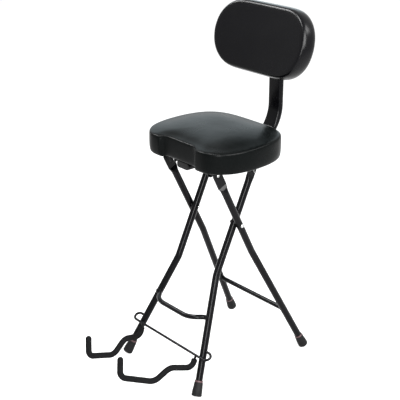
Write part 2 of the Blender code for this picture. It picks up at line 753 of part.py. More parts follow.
def arm_path(side):
    """The centre line of a cradle arm, from the cross wire to its tip."""
    forward = Vector((-side * math.sin(CRADLE_TOE_IN), -math.cos(CRADLE_TOE_IN), 0))
    root = Vector((side * CRADLE_ARM_X, wire_low.y, 0))
    profile = [Vector((0, wire_low.z)), ARM_DIP, ARM_HUMP, ARM_LOW, ARM_REACH, ARM_TIP]
    corners = [root + forward * point.x + Vector((0, 0, point.y)) for point in profile]
    radii = [ARM_DIP_RADIUS, ARM_BEND_RADIUS, ARM_BEND_RADIUS, ARM_END_RADIUS]
    return rounded_path(corners, radii, 4)


def shortened(path, cut):
    """A path with a length taken off its start."""
    left = cut
    points = list(path)
    while (points[1] - points[0]).length <= left:
        left -= (points[1] - points[0]).length
        points.pop(0)
    points[0] = points[0] + (points[1] - points[0]).normalized() * left
    return points


def sleeve(name, path):
    """A soft tube, open at its start and closed with a round tip, drawn as one row of rings."""
    outer = CRADLE_SLEEVE / 2
    bore = CRADLE_ROD / 2 + GAP
    thin_way = Vector((1, 0, 0))
    ways = path_tangents(path)
    bore_path = path[:-1] + [path[-1] - ways[-1] * CRADLE_SLEEVE_WALL_AT_TIP]
    rings = []
    for place, tangent in zip(bore_path[::-1], ways[::-1]):
        rings.append(ring(place, tangent, thin_way, bore * 2, bore * 2, SLEEVE_SIDES))
    lip = outer * SLEEVE_LIP_SHARE
    rings.append(ring(path[0], ways[0], thin_way, lip * 2, lip * 2, SLEEVE_SIDES))
    lip_centre = path[0] + ways[0] * (outer - lip)
    rings.append(ring(lip_centre, ways[0], thin_way, CRADLE_SLEEVE, CRADLE_SLEEVE, SLEEVE_SIDES))
    for place, tangent in zip(path[1:], ways[1:]):
        rings.append(ring(place, tangent, thin_way, outer * 2, outer * 2, SLEEVE_SIDES))
    turns = 4
    for step in range(1, turns + 1):
        angle = math.radians(80.0) * step / turns
        place = path[-1] + ways[-1] * (outer * math.sin(angle))
        radius = outer * math.cos(angle)
        rings.append(ring(place, ways[-1], thin_way, radius * 2, radius * 2, SLEEVE_SIDES))
    return loft(name, rings)


for side, hand in ((LEFT, "left"), (RIGHT, "right")):
    path = arm_path(side)
    back_from_tip = (path[-2] - path[-1]).normalized()
    rod_path = path[:-1] + [path[-1] + back_from_tip * (CRADLE_SLEEVE_WALL_AT_TIP + 2 * GAP)]
    rod = curve_to_mesh(tube_curve("cradle_rod_" + hand, rod_path, CRADLE_ROD, 1))
    across = Vector((side * (CRADLE_ARM_X - CRADLE_ROD), wire_low.y, wire_low.z))
    boolean(rod, cylinder("rod_saddle", across, Vector((side, 0, 0)), wire_radius + GAP, CRADLE_ROD * 2))
    finish(rod, black_enamel, cradle_frame)
    finish(sleeve("cradle_sleeve_" + hand, shortened(path, CRADLE_BARE_STUB)), sleeve_foam, cradle_frame)


def seat_half_outline(inset):
    """Half of the seat's outline, drawn in by an inset: a hollow front and full rounded corners."""
    width = SEAT_HALF_WIDTH - inset
    front = SEAT_FRONT_Y + inset
    notch = SEAT_NOTCH_Y + inset
    rear = SEAT_REAR_Y - inset
    depth = rear - front
    front_shares = ((0.0, 0.0), (0.20, 0.02), (0.31, 0.40), (0.41, 0.97))
    points = [(width * x, notch + (front - notch) * y) for x, y in front_shares]
    body_shares = (
        (0.58, 0.0), (0.735, 0.038), (0.875, 0.12), (0.962, 0.235), (1.0, 0.39), (1.0, 0.49),
        (0.992, 0.60), (0.953, 0.735), (0.860, 0.865), (0.700, 0.950), (0.48, 0.992), (0.24, 1.0), (0.0, 1.0),
    )
    points += [(width * x, front + depth * y) for x, y in body_shares]
    return points


def seat_outline(inset):
    """The whole outline, anticlockwise from the middle of the front."""
    right = seat_half_outline(inset)
    left = [(-x, y) for x, y in right[-2:0:-1]]
    return right + left


def cushion(name, levels, shape, place):
    """A cage of rings from the underside over the side to the crown, smoothed by subdivision."""
    rings = [[place(point, height) for point in shape(inset, spread)] for inset, spread, height in levels]
    obj = loft(name, rings)
    subdivision = obj.modifiers.new("Subdivision", "SUBSURF")
    subdivision.levels = 1
    subdivision.render_levels = 1
    return obj


def seat_shape(inset, spread):
    """The seat outline, drawn in by an inset and then shrunk towards its middle."""
    middle_y = (SEAT_FRONT_Y + SEAT_REAR_Y) / 2
    return [(x * spread, middle_y + (y - middle_y) * spread) for x, y in seat_outline(inset)]


# Rows of the seat's cage from the underside up: draw-in as a share of the tuck, spread,
# and height as shares of the side's rise and of the crown
seat_level_shares = (
    (2.4, 1.0, 0.0, 0.0),
    (0.75, 1.0, 0.0, 0.0),
    (0.18, 1.0, 0.055, 0.0),
    (-0.11, 1.0, 0.34, 0.0),
    (-0.06, 1.0, 0.76, 0.0),
    (0.45, 1.0, 1.01, 0.0),
    (1.5, 1.0, 1.01, 0.34),
    (2.0, 0.82, 1.0, 0.86),
    (2.0, 0.50, 1.0, 1.0),
    (2.0, 0.22, 1.0, 1.08),
)
seat_levels = []
for draw_in, spread, side_share, crown_share in seat_level_shares:
    height = seat_underside + SEAT_SIDE_RISE * side_share + SEAT_CROWN_RISE * crown_share
    seat_levels.append((SEAT_TUCK * draw_in, spread, height))


def seat_place(point, height):
    """A point of the seat cushion; its upper half rises towards the rear."""
    rear_share = (point[1] - SEAT_FRONT_Y) / (SEAT_REAR_Y - SEAT_FRONT_Y)
    top_share = max(height - seat_underside, 0) / SEAT_SIDE_RISE
    return Vector((point[0], point[1], height + SEAT_REAR_RISE * rear_share * top_share))


seat_cushion = cushion("seat_cushion", seat_levels, seat_shape, seat_place)

# Seat board, let into the underside of the cushion
board_middle = seat_underside + BOARD_THICKNESS / 2
board = flat_outline("seat_board", seat_outline(BOARD_INSET), BOARD_THICKNESS)
board.location = (0, 0, board_middle)
board = curve_to_mesh(board)
pocket = flat_outline("board_pocket", seat_outline(BOARD_INSET - GAP), BOARD_THICKNESS + OVERRUN)
pocket.location = (0, 0, board_middle + GAP - OVERRUN / 2)
boolean(seat_cushion, curve_to_mesh(pocket))
finish(seat_cushion, black_vinyl, seat_frame)
finish(board, painted_board, seat_frame)

# Side channels: a web under the board, a deep outer flange with the hinge and latch eyes
channel_top = seat_underside - GAP
channel_inner = channel_face - CHANNEL_WIDTH
channel_front_y = seat_hinge_y - CHANNEL_FRONT_RUN
channel_rear_y = latch_y + CHANNEL_REAR_RUN
channel_bottom = seat_underside - CHANNEL_DEPTH
channel_inner_bottom = seat_underside - CHANNEL_INNER_DEPTH
flange_outline = [(channel_rear_y, channel_top), (channel_front_y, channel_top)]
flange_outline += arc(seat_hinge_y, SEAT_HINGE_HEIGHT, CHANNEL_LOBE, 190, 285, 6)
flange_outline += [(seat_hinge_y + CHANNEL_LOBE_RUN, channel_bottom)]
flange_outline += [(latch_y - CHANNEL_LOBE_RUN, channel_bottom)]
flange_outline += arc(latch_y, latch_height, CHANNEL_LOBE, 215, 360, 8)
flange_outline += [(channel_rear_y, channel_inner_bottom)]
for side, hand in ((LEFT, "left"), (RIGHT, "right")):
    middle_x = side * (channel_face - CHANNEL_WIDTH / 2)
    channel = side_plate("seat_channel_" + hand, flange_outline, middle_x, CHANNEL_WIDTH)
    hollow_low = (middle_x - CHANNEL_WIDTH / 2 + CHANNEL_WALL, channel_front_y - CHANNEL_WIDTH, 0)
    hollow_high_x = middle_x + CHANNEL_WIDTH / 2 - CHANNEL_WALL
    hollow_high = (hollow_high_x, channel_rear_y + CHANNEL_WIDTH, channel_top - CHANNEL_WALL)
    boolean(channel, box("channel_hollow", hollow_low, hollow_high))
    low_x, high_x = sorted((side * (channel_inner - OVERRUN), middle_x))
    edge_high = (high_x, hollow_high[1], channel_inner_bottom)
    below = box("channel_inner_edge", (low_x, hollow_low[1], 0), edge_high)
    boolean(channel, below)
    inward = Vector((-side, 0, 0))
    hinge_eye = (seat_hinge_y, SEAT_HINGE_HEIGHT, HINGE_BOLT)
    latch_eye = (latch_y, latch_height, LATCH_PIN)
    for eye_y, eye_z, pin in (hinge_eye, latch_eye):
        hole(channel, Vector((side * channel_face, eye_y, eye_z)), inward, pin, CHANNEL_WALL + OVERRUN)
    screw_inset = (channel_rear_y - channel_front_y) * CHANNEL_SCREW_SHARE
    front_screw_y = channel_front_y + screw_inset
    rear_screw_y = channel_rear_y - screw_inset
    for place, screw_y in (("front", front_screw_y), ("rear", rear_screw_y)):
        web_under = channel_top - CHANNEL_WALL - GAP
        screw_place = Vector((side * (channel_face - CHANNEL_WIDTH / 2), screw_y, web_under))
        up = Vector((0, 0, 1))
        reach = seat_underside + SCREW_IN_BOARD - web_under
        obj = round_bolt("channel_screw_" + place + "_" + hand, screw_place, up, CHANNEL_SCREW, reach,
                         CHANNEL_SCREW_HEAD, CHANNEL_SCREW_HEAD_HEIGHT)
        finish(obj, zinc_steel, seat_frame)
        hole(channel, screw_place, up, CHANNEL_SCREW, CHANNEL_WALL + OVERRUN)
        hole(board, screw_place, up, CHANNEL_SCREW, reach + GAP)
    finish(channel, black_enamel, seat_frame)

# Latch pins: a spring pin in a housing on each front leg's flat top, with a pull ring
latch_out = INNER_LEG_X + pressed_half + GAP
for side, hand in ((LEFT, "left"), (RIGHT, "right")):
    outward = Vector((side, 0, 0))
    seat_of_pin = Vector((side * latch_out, latch_y, latch_height))
    latch_frame = axis_empty("latch_axis_" + hand, seat_of_pin)
    latch_frame.parent = front_frame
    latch_frame.matrix_parent_inverse = Matrix.Translation(front_frame.location).inverted()
    name = "latch_housing_" + hand
    obj = washer(name, seat_of_pin, outward, LATCH_HOUSING, LATCH_PIN, LATCH_HOUSING_LENGTH)
    finish(obj, zinc_steel, front_frame)
    hole(front_legs[side], seat_of_pin, -outward, LATCH_PIN, LEG_PRESSED + 2 * OVERRUN)
    head_place = seat_of_pin + outward * (LATCH_HOUSING_LENGTH + GAP)
    reach = LATCH_HOUSING_LENGTH + 2 * GAP + LEG_PRESSED
    name = "latch_pin_" + hand
    pin = round_bolt(name, head_place, -outward, LATCH_PIN, reach, LATCH_HEAD, LATCH_HEAD_LENGTH)
    ring_radius = LATCH_RING / 2 - LATCH_RING_WIRE / 2
    ring_place = head_place + outward * (LATCH_HEAD_LENGTH / 2) - Vector((0, 0, ring_radius))
    through = head_place + outward * (LATCH_HEAD_LENGTH / 2) - Vector((0, LATCH_HEAD, 0))
    hole(pin, through, Vector((0, 1, 0)), LATCH_EYE, LATCH_HEAD * 2)
    finish(pin, zinc_steel, latch_frame)
    circle = []
    turns = 14
    for step in range(turns):
        angle = math.tau * step / turns
        circle.append(ring_place + Vector((0, ring_radius * math.sin(angle), ring_radius * math.cos(angle))))
    pull = tube_curve("latch_ring_" + hand, circle, LATCH_RING_WIRE, 1)
    pull.data.splines[0].use_cyclic_u = True
    finish(pull, zinc_steel, latch_frame)


def post_outline(shrink):
    """The flat oval section of the back post, drawn in by shrink, in its own XY plane."""
    half_width = POST_WIDTH / 2 - shrink
    half_depth = POST_DEPTH / 2 - shrink
    corner = POST_CORNER - shrink
    points = []
    for centre_x, centre_y, start in (
        (half_width - corner, half_depth - corner, 0),
        (corner - half_width, half_depth - corner, 90),
        (corner - half_width, corner - half_depth, 180),
        (half_width - corner, corner - half_depth, 270),
    ):
        points += arc(centre_x, centre_y, corner, start, start + 90, 3)
    return points


def post_length(name, shrink, corners, radii):
    """The post's section carried along a path in the YZ plane."""
    path = rounded_path(corners, radii, 10)
    rings = []
    for place, tangent in zip(path, path_tangents(path)):
        depth_way = tangent.cross(Vector((1, 0, 0)))
        rings.append([place + Vector((1, 0, 0)) * a + depth_way * b for a, b in post_outline(shrink)])
    return loft(name, rings)


# Back post, bent from under the seat up to the backrest
post_height = seat_underside - GAP - POST_DEPTH / 2
post_top = seat_underside + POST_HEIGHT
post_corners = [
    Vector((0, POST_FRONT_Y, post_height)),
    Vector((0, POST_REAR_Y, post_height)),
    Vector((0, POST_REAR_Y, post_top)),
]
bore_corners = [
    post_corners[0] - Vector((0, OVERRUN, 0)),
    post_corners[1],
    post_corners[2] + Vector((0, 0, OVERRUN)),
]
post = post_length("back_post", 0, post_corners, [POST_BEND_RADIUS])
boolean(post, post_length("post_bore", POST_WALL, bore_corners, [POST_BEND_RADIUS]))

# Plugs in both ends of the post
up = Vector((0, 0, 1))
front_plug = ("post_front_plug", post_corners[0], Vector((0, -1, 0)))
top_plug = ("post_top_plug", post_corners[2], up)
for name, end, way in (front_plug, top_plug):
    flange_start = end + way * GAP
    plug = post_length(name, 0, [flange_start, flange_start + way * PLUG_FLANGE], [])
    tail_end = end - way * PLUG_DEPTH
    tail_start = flange_start + way * (PLUG_FLANGE / 2)
    tail = post_length(name + "_tail", POST_WALL + GAP, [tail_end, tail_start], [])
    boolean(plug, tail, "UNION")
    finish(plug, black_plastic, seat_frame)

# Bolts up through the post into the seat board
for place, bolt_y in (("front", POST_BOLT_FRONT_Y), ("rear", POST_BOLT_REAR_Y)):
    under = Vector((0, bolt_y, post_height - POST_DEPTH / 2 - GAP))
    reach = seat_underside + SCREW_IN_BOARD - under.z
    obj = round_bolt("post_bolt_" + place, under, up, POST_BOLT, reach, POST_BOLT_HEAD, POST_BOLT_HEAD_HEIGHT)
    finish(obj, zinc_steel, seat_frame)
    hole(post, under, up, POST_BOLT, POST_DEPTH + OVERRUN)
    hole(board, under, up, POST_BOLT, reach + GAP)

# Backrest pad, curved forward at its ends, on a board of the same outline
back_forward = Vector((0, -math.cos(BACK_RECLINE), math.sin(BACK_RECLINE)))
back_up = Vector((0, math.sin(BACK_RECLINE), math.cos(BACK_RECLINE)))
back_middle = Vector((0, BACK_FRONT_Y, seat_underside + BACK_CENTRE_RISE))


def back_shape(inset, spread):
    """The backrest's outline: a long oval with level sides, each with a point at its middle."""
    half_width = BACK_HALF_WIDTH - inset
    half_height = BACK_HALF_HEIGHT - inset
    corner = BACK_CORNER - inset
    points = []
    for x_side, y_side, start in ((1, 1, 0), (-1, 1, 90), (-1, -1, 180), (1, -1, 270)):
        centre_x = x_side * (half_width - corner)
        centre_y = y_side * (half_height - corner)
        points += arc(centre_x, centre_y, corner, start, start + 90, BACK_CORNER_STEPS)
        if start in (0, 180):
            side_run = (half_width - corner) / 3
            points.append((x_side * side_run, y_side * half_height))
            points.append((-x_side * side_run, y_side * half_height))
    return [(x * spread, y * spread) for x, y in points]


def back_place(point, depth):
    """A point of the backrest, at a depth behind its front face, bent forward at the ends."""
    bend = BACK_CURVE * (point[0] / BACK_HALF_WIDTH) ** 2
    return back_middle + Vector((point[0], 0, 0)) + back_up * point[1] + back_forward * (bend - depth)


# Rows of the backrest's cage from the rear forward: draw-in, spread and depth shares
back_level_shares = (
    (1.76, 1.0, 1.0),
    (0.80, 1.0, 1.0),
    (0.28, 1.0, 0.97),
    (-0.08, 1.0, 0.74),
    (-0.08, 1.0, 0.36),
    (0.44, 1.0, 0.10),
    (1.0, 1.0, 0.015),
    (1.0, 0.78, -0.01),
    (1.0, 0.40, -0.03),
)
back_levels = []
for draw_in, spread, depth_share in back_level_shares:
    back_levels.append((BACK_TUCK * draw_in, spread, BACK_THICKNESS * depth_share))
backrest_pad = cushion("backrest_pad", back_levels, back_shape, back_place)


def back_board(name, grow, front_depth, rear_depth):
    """A board that follows the backrest's curve, between two depths."""
    spread_shares = (0.1, 0.4, 0.7, 1.0)
    rows = [(share, front_depth) for share in spread_shares]
    rows += [(share, rear_depth) for share in spread_shares[::-1]]
    levels = []
    for share, depth in rows:
        levels.append([back_place(point, depth) for point in back_shape(BACK_BOARD_INSET - grow, share)])
    return loft(name, levels)


board_front = BACK_THICKNESS - BACK_BOARD_THICKNESS
backrest_board = back_board("backrest_board", 0, board_front, BACK_THICKNESS)
pocket_front = board_front - POCKET_CLEARANCE
boolean(backrest_pad, back_board("back_pocket", POCKET_CLEARANCE, pocket_front, BACK_THICKNESS + OVERRUN))
finish(backrest_pad, black_vinyl, seat_frame)

# Backrest bracket: a plate on the board with two cheeks that straddle the post
bracket_middle = back_middle - back_forward * (BACK_THICKNESS + GAP) - back_up * BRACKET_CENTRE_DROP
plate = box("backrest_bracket", (-BRACKET_HALF_WIDTH, 0, -BRACKET_HALF_HEIGHT),
            (BRACKET_HALF_WIDTH, BRACKET_PLATE, BRACKET_HALF_HEIGHT))
plate.location = bracket_middle
plate.rotation_euler = (-BACK_RECLINE, 0, 0)
cheek_front = [bracket_middle + back_up * reach - back_forward * (BRACKET_PLATE / 2)
               for reach in (-BRACKET_HALF_HEIGHT, BRACKET_HALF_HEIGHT)]
cheek_rear = POST_REAR_Y + POST_DEPTH / 2 - POST_CORNER
cheek_outline = [
    (cheek_front[0].y, cheek_front[0].z), (cheek_rear, cheek_front[0].z),
    (cheek_rear, post_top), (cheek_front[1].y, cheek_front[1].z),
]
cheek_inside = POST_WIDTH / 2 + GAP
for side in (LEFT, RIGHT):
    middle_x = side * (cheek_inside + BRACKET_PLATE / 2)
    boolean(plate, side_plate("bracket_cheek", cheek_outline, middle_x, BRACKET_PLATE), "UNION")

# Rivets through the cheeks and the post
rivet_outside = cheek_inside + BRACKET_PLATE + GAP
for place, lift in (("lower", -RIVET_SPREAD / 2), ("upper", RIVET_SPREAD / 2)):
    centre = Vector((-rivet_outside, POST_REAR_Y, post_top - RIVET_SPREAD + lift))
    across = Vector((1, 0, 0))
    name = "backrest_rivet_" + place
    rivet = round_bolt(name, centre, across, RIVET, 2 * rivet_outside, RIVET_HEAD, RIVET_HEAD_HEIGHT)
    far_side = centre + across * (2 * rivet_outside)
    far_head = cylinder("rivet_far_head", far_side, across, RIVET_HEAD / 2, RIVET_HEAD_HEIGHT)
    boolean(rivet, far_head, "UNION")
    finish(rivet, zinc_steel, seat_frame)
    hole(post, centre, across, RIVET, 2 * rivet_outside + OVERRUN)
    hole(plate, centre, across, RIVET, 2 * rivet_outside + OVERRUN)

# Screws through the plate into the backrest board
for side, hand in ((LEFT, "left"), (RIGHT, "right")):
    behind = bracket_middle + Vector((side * PLATE_SCREW_X, 0, 0)) - back_forward * (BRACKET_PLATE + GAP)
    reach = BRACKET_PLATE + 2 * GAP + PLATE_SCREW_REACH
    obj = round_bolt("backrest_screw_" + hand, behind, back_forward, PLATE_SCREW, reach, PLATE_SCREW_HEAD,
                     PLATE_SCREW_HEAD_HEIGHT)
    finish(obj, zinc_steel, seat_frame)
    hole(plate, behind, back_forward, PLATE_SCREW, BRACKET_PLATE + OVERRUN)
    hole(backrest_board, behind, back_forward, PLATE_SCREW, reach + 2 * GAP)
finish(backrest_board, painted_board, seat_frame)
finish(plate, black_enamel, seat_frame)

# Crush dimple on the inside of the post's bend
bend_centre = Vector((0, POST_REAR_Y - POST_BEND_RADIUS, post_height + POST_BEND_RADIUS))
outward = Vector((0, math.sin(POST_DIMPLE_TURN), -math.cos(POST_DIMPLE_TURN)))
inner_radius = POST_BEND_RADIUS - POST_DEPTH / 2
dimple_reach = inner_radius - POST_DIMPLE_RADIUS + POST_DIMPLE_DEPTH
dimple_start = bend_centre + outward * dimple_reach - Vector((POST_WIDTH, 0, 0))
across = Vector((1, 0, 0))
boolean(post, cylinder("post_dimple", dimple_start, across, POST_DIMPLE_RADIUS, POST_WIDTH * 2, sides=28))
finish(post, black_enamel, seat_frame)

# Move the whole stool so that the origin lies under the middle of its length
bpy.context.view_layer.update()
depsgraph = bpy.context.evaluated_depsgraph_get()
reaches = []
for obj in stool.objects:
    if obj.type != "EMPTY":
        mesh = bpy.data.meshes.new_from_object(obj.evaluated_get(depsgraph))
        reaches += [(obj.matrix_world @ vertex.co).y for vertex in mesh.vertices]
        bpy.data.meshes.remove(mesh)
middle_y = (min(reaches) + max(reaches)) / 2
for obj in bpy.data.objects:
    if obj.parent is None:
        obj.location.y -= middle_y

bpy.context.view_layer.update()
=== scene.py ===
import math

import bpy
from mathutils import Matrix, Vector
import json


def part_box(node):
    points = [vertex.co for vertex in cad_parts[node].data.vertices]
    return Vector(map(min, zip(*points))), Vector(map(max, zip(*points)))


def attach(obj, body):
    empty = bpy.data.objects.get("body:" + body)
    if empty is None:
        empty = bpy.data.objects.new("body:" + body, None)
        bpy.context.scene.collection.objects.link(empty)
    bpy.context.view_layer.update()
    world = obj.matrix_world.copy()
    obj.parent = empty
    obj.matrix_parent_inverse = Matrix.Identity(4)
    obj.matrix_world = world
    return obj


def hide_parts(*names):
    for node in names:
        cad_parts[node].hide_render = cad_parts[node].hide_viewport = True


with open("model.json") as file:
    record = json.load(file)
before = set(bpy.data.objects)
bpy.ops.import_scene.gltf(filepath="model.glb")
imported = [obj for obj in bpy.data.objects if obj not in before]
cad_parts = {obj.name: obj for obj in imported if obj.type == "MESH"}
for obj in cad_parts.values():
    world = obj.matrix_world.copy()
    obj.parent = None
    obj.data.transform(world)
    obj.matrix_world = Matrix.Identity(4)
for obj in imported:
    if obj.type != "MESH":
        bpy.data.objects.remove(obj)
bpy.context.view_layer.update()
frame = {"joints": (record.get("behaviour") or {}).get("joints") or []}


# Rear legs: 22 mm (7/8 inch) welded steel tube, bent outward below the crossing, its top end
# pressed flat and cut round for the seat hinge bolt. Powder coated in satin black.
LEG_TUBE = 0.0222
LEG_PRESSED = 0.0045
LEG_BEND_RADIUS = 0.090
CREASE_LENGTH = 0.034
REAR_LEG_ANGLE = math.radians(26.8)
REAR_LEG_X = 0.1137
REAR_FOOT_X = 0.1743
REAR_BEND_HEIGHT = 0.3832
REAR_LEG = (REAR_LEG_X, REAR_FOOT_X, REAR_BEND_HEIGHT, REAR_LEG_ANGLE)
REAR_CREASE_DROP = 0.043
PRESS_CURVE = 2.8
BOOT_SOLE = 0.010
TUBE_END_RISE = BOOT_SOLE + 0.006
sides = ((-1, "left"), (1, "right"))
crossing = Vector(frame["joints"][0]["pos_m"])
seat_hinge = Vector(frame["joints"][1]["pos_m"])


def linear(hex_colour):
    """An sRGB hex colour as the linear values that a shader takes."""
    shares = [int(hex_colour[i:i + 2], 16) / 255 for i in (1, 3, 5)]
    values = [s / 12.92 if s <= 0.04045 else ((s + 0.055) / 1.055) ** 2.4 for s in shares]
    return (*values, 1.0)


def fill(material, node, **inputs):
    """Give each named or numbered input of a node its value, or link it to a socket."""
    for name, value in inputs.items():
        key = int(name[1:]) if name[0] == "i" and name[1:].isdigit() else name.replace("_", " ")
        if isinstance(value, bpy.types.NodeSocket):
            material.node_tree.links.new(value, node.inputs[key])
        else:
            node.inputs[key].default_value = value


def add_node(material, kind, settings=None, **inputs):
    """Add a node with its settings, values and links."""
    node = material.node_tree.nodes.new("ShaderNode" + kind)
    for setting, value in (settings or {}).items():
        setattr(node, setting, value)
    fill(material, node, **inputs)
    return node


def new_finish(name, colour, roughness, metallic=0.0):
    """A material with its plain values, its shader node and its object coordinates."""
    material = bpy.data.materials.new(name)
    material.use_nodes = True
    shader = material.node_tree.nodes["Principled BSDF"]
    fill(material, shader, Base_Color=linear(colour), Roughness=roughness, Metallic=metallic)
    coordinates = add_node(material, "TexCoord").outputs["Object"]
    return material, shader, coordinates


# Satin powder coat on steel: a fine orange peel of about 1.5 mm breaks up the highlights, and
# handling dulls it in soft patches some 25 mm across. Its edges mirror little, so tubes look dark
# right up to their outline.
powder_coat, shader, coordinates = new_finish("satin_black_powder_coat", "#060607", 0.30)
patches = add_node(powder_coat, "TexNoise", Vector=coordinates, Scale=40.0, Detail=4.0)
dulling = add_node(powder_coat, "MapRange", Value=patches.outputs["Fac"], To_Min=0.12, To_Max=0.26)
tint = add_node(powder_coat, "Mix", {"data_type": "RGBA"}, i0=patches.outputs["Fac"],
                i6=linear("#020203"), i7=linear("#040405"))
peel = add_node(powder_coat, "TexNoise", Vector=coordinates, Scale=650.0, Detail=2.0)
bump = add_node(powder_coat, "Bump", Height=peel.outputs["Fac"], Strength=0.12, Distance=0.0001)
fill(powder_coat, shader, Base_Color=tint.outputs[2], Roughness=dulling.outputs["Result"],
     Normal=bump.outputs["Normal"], Specular_IOR_Level=1.0, IOR=1.13)


def dress(obj, material, body, slot, *nodes):
    """Give a finished piece its material, the body that carries it, and the nodes it stands for."""
    obj.data.materials.clear()
    obj.data.materials.append(material)
    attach(obj, body)
    if nodes:
        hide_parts(*nodes)
    return obj


def select_only(obj):
    """Select one object alone and make it the active one."""
    bpy.ops.object.select_all(action="DESELECT")
    bpy.context.view_layer.objects.active = obj
    obj.select_set(True)


def close_up(obj, smooth_angle=35.0):
    """Merge doubles, face all outwards, and smooth the shading up to an angle."""
    select_only(obj)
    bpy.ops.object.mode_set(mode="EDIT")
    bpy.ops.mesh.select_all(action="SELECT")
    bpy.ops.mesh.remove_doubles(threshold=0.00002)
    bpy.ops.mesh.normals_make_consistent(inside=False)
    bpy.ops.object.mode_set(mode="OBJECT")
    bpy.ops.object.shade_smooth_by_angle(angle=math.radians(smooth_angle))
    return obj


def turn_ring(centre, angle, axis="Y"):
    """Turn the selected ring; with no window, transform.rotate turns the other way."""
    bpy.ops.transform.rotate(value=-angle, orient_axis=axis, center_override=centre)


def draw_leg(name, side, leg_x, foot_x, bend_height, tilt, eye_height, crease_drop):
    """Model a leg upright in its own plane, from its top end down to its foot, then lean it back."""
    slope = math.cos(tilt)
    eye = (eye_height - crossing.z) / slope
    bend = (bend_height - crossing.z) / slope
    floor = -crossing.z / slope
    lean = math.atan2(foot_x - leg_x, bend - floor)
    flat_width = LEG_PRESSED + math.pi * (LEG_TUBE - LEG_PRESSED) / 2
    radius = LEG_TUBE / 2
    # rings of the straight run: height, and width across the leg
    runs = []
    round_steps = 8
    for step in range(round_steps + 1):
        angle = math.radians(84.0) * (round_steps - step) / round_steps
        runs.append((eye + flat_width / 2 * math.sin(angle), flat_width * math.cos(angle)))
    crease_top = eye - crease_drop
    crease_steps = 18
    for step in range(crease_steps + 1):
        share = (step / crease_steps) ** 1.6
        pressed = (1 - share) ** PRESS_CURVE
        runs.append((crease_top - CREASE_LENGTH * share, LEG_TUBE + (flat_width - LEG_TUBE) * pressed))
    arc_run = LEG_BEND_RADIUS * math.tan(lean / 2)
    runs.append((bend + arc_run, LEG_TUBE))

    bpy.ops.object.select_all(action="DESELECT")
    bpy.ops.mesh.primitive_circle_add(vertices=48, radius=radius, fill_type="NGON",
                                      location=(side * leg_x, 0, runs[0][0]))
    obj = bpy.context.object
    obj.name = name
    bpy.ops.object.transform_apply(location=True, rotation=True, scale=True)
    bpy.ops.object.mode_set(mode="EDIT")
    centre = Vector((side * leg_x, 0, runs[0][0]))
    bpy.ops.transform.resize(value=(1, runs[0][1] / LEG_TUBE, 1), center_override=centre)
    for (height, width), (next_height, next_width) in zip(runs, runs[1:]):
        bpy.ops.mesh.extrude_region_move(TRANSFORM_OT_translate={"value": (0, 0, next_height - height)})
        centre = Vector((side * leg_x, 0, next_height))
        bpy.ops.transform.resize(value=(1, next_width / width, 1), center_override=centre)
    turns = 8
    bend_centre = Vector((side * (leg_x + LEG_BEND_RADIUS), 0, bend + arc_run))
    for step in range(turns):
        angle = lean * (step + 1) / turns
        place = bend_centre + Vector((-side * math.cos(angle), 0, -math.sin(angle))) * LEG_BEND_RADIUS
        bpy.ops.mesh.extrude_region_move(TRANSFORM_OT_translate={"value": place - centre})
        centre = place
        turn_ring(centre, -side * lean / turns)
    up_leg = Vector((-side * math.sin(lean), 0, math.cos(lean)))
    foot = Vector((side * foot_x, 0, floor)) + up_leg * TUBE_END_RISE
    bpy.ops.mesh.extrude_region_move(TRANSFORM_OT_translate={"value": foot - centre})
    bpy.ops.object.mode_set(mode="OBJECT")

    # the press closes the tube between two flat faces
    for vertex in obj.data.vertices:
        share = min(max((crease_top - vertex.co.z) / CREASE_LENGTH, 0), 1)
        half = (LEG_TUBE - (LEG_TUBE - LEG_PRESSED) * (1 - share) ** PRESS_CURVE) / 2
        if share < 1:
            across = vertex.co.x - side * leg_x
            vertex.co.x = side * leg_x + min(max(across, -half), half)
    obj.data.transform(Matrix.Rotation(tilt, 4, "X"))
    obj.data.transform(Matrix.Translation(crossing))
    return close_up(obj, 24.0)


for side, hand in sides:
    rear_leg = draw_leg("rear_leg_tube_" + hand, side, *REAR_LEG, seat_hinge.z, REAR_CREASE_DROP)
    dress(rear_leg, powder_coat, "rear_frame", "black_enamel", "rear_leg_" + hand)


# Rear crossbar: a short 15.5 mm tube welded between the rear legs, its ends coped round them.
# A small weld bead runs round each end, under the powder coat.
BAR_TUBE = 0.0155
CROSSBAR_HEIGHT = 0.1543
WELD_BEAD = 0.0032
BAR_BITE = 0.002
BEAD_RIPPLE = 0.0006


def leg_line(height, side, leg_x, foot_x, bend_height, tilt):
    """The point of a leg's centre line at a height."""
    x = leg_x
    if height < bend_height:
        x = foot_x + (leg_x - foot_x) * height / bend_height
    return Vector((side * x, crossing.y + (crossing.z - height) * math.tan(tilt), height))


def added(name, data):
    """Put a mesh or a curve in the scene as an object, and select it alone."""
    obj = bpy.data.objects.new(name, data)
    bpy.context.scene.collection.objects.link(obj)
    select_only(obj)
    return obj


def drawn_tube(name, points, diameter, rounds=6, closed=False, swells=None, smooth_angle=35.0):
    """A rod or wire along a path, as thick as its swells say at each point, made a mesh."""
    curve = bpy.data.curves.new(name, "CURVE")
    curve.dimensions = "3D"
    curve.bevel_depth = diameter / 2
    curve.bevel_resolution = rounds
    curve.use_fill_caps = True
    spline = curve.splines.new("POLY")
    spline.points.add(len(points) - 1)
    for point, place, swell in zip(spline.points, points, swells or [1.0] * len(points)):
        point.co = (*place, 1.0)
        point.radius = swell
    spline.use_cyclic_u = closed
    added(name, curve)
    bpy.ops.object.convert(target="MESH")
    return close_up(bpy.context.object, smooth_angle)


def joined(name, *pieces):
    """Join pieces into one object."""
    bpy.ops.object.select_all(action="DESELECT")
    for piece in pieces:
        piece.select_set(True)
    bpy.context.view_layer.objects.active = pieces[0]
    bpy.ops.object.join()
    pieces[0].name = name
    return pieces[0]


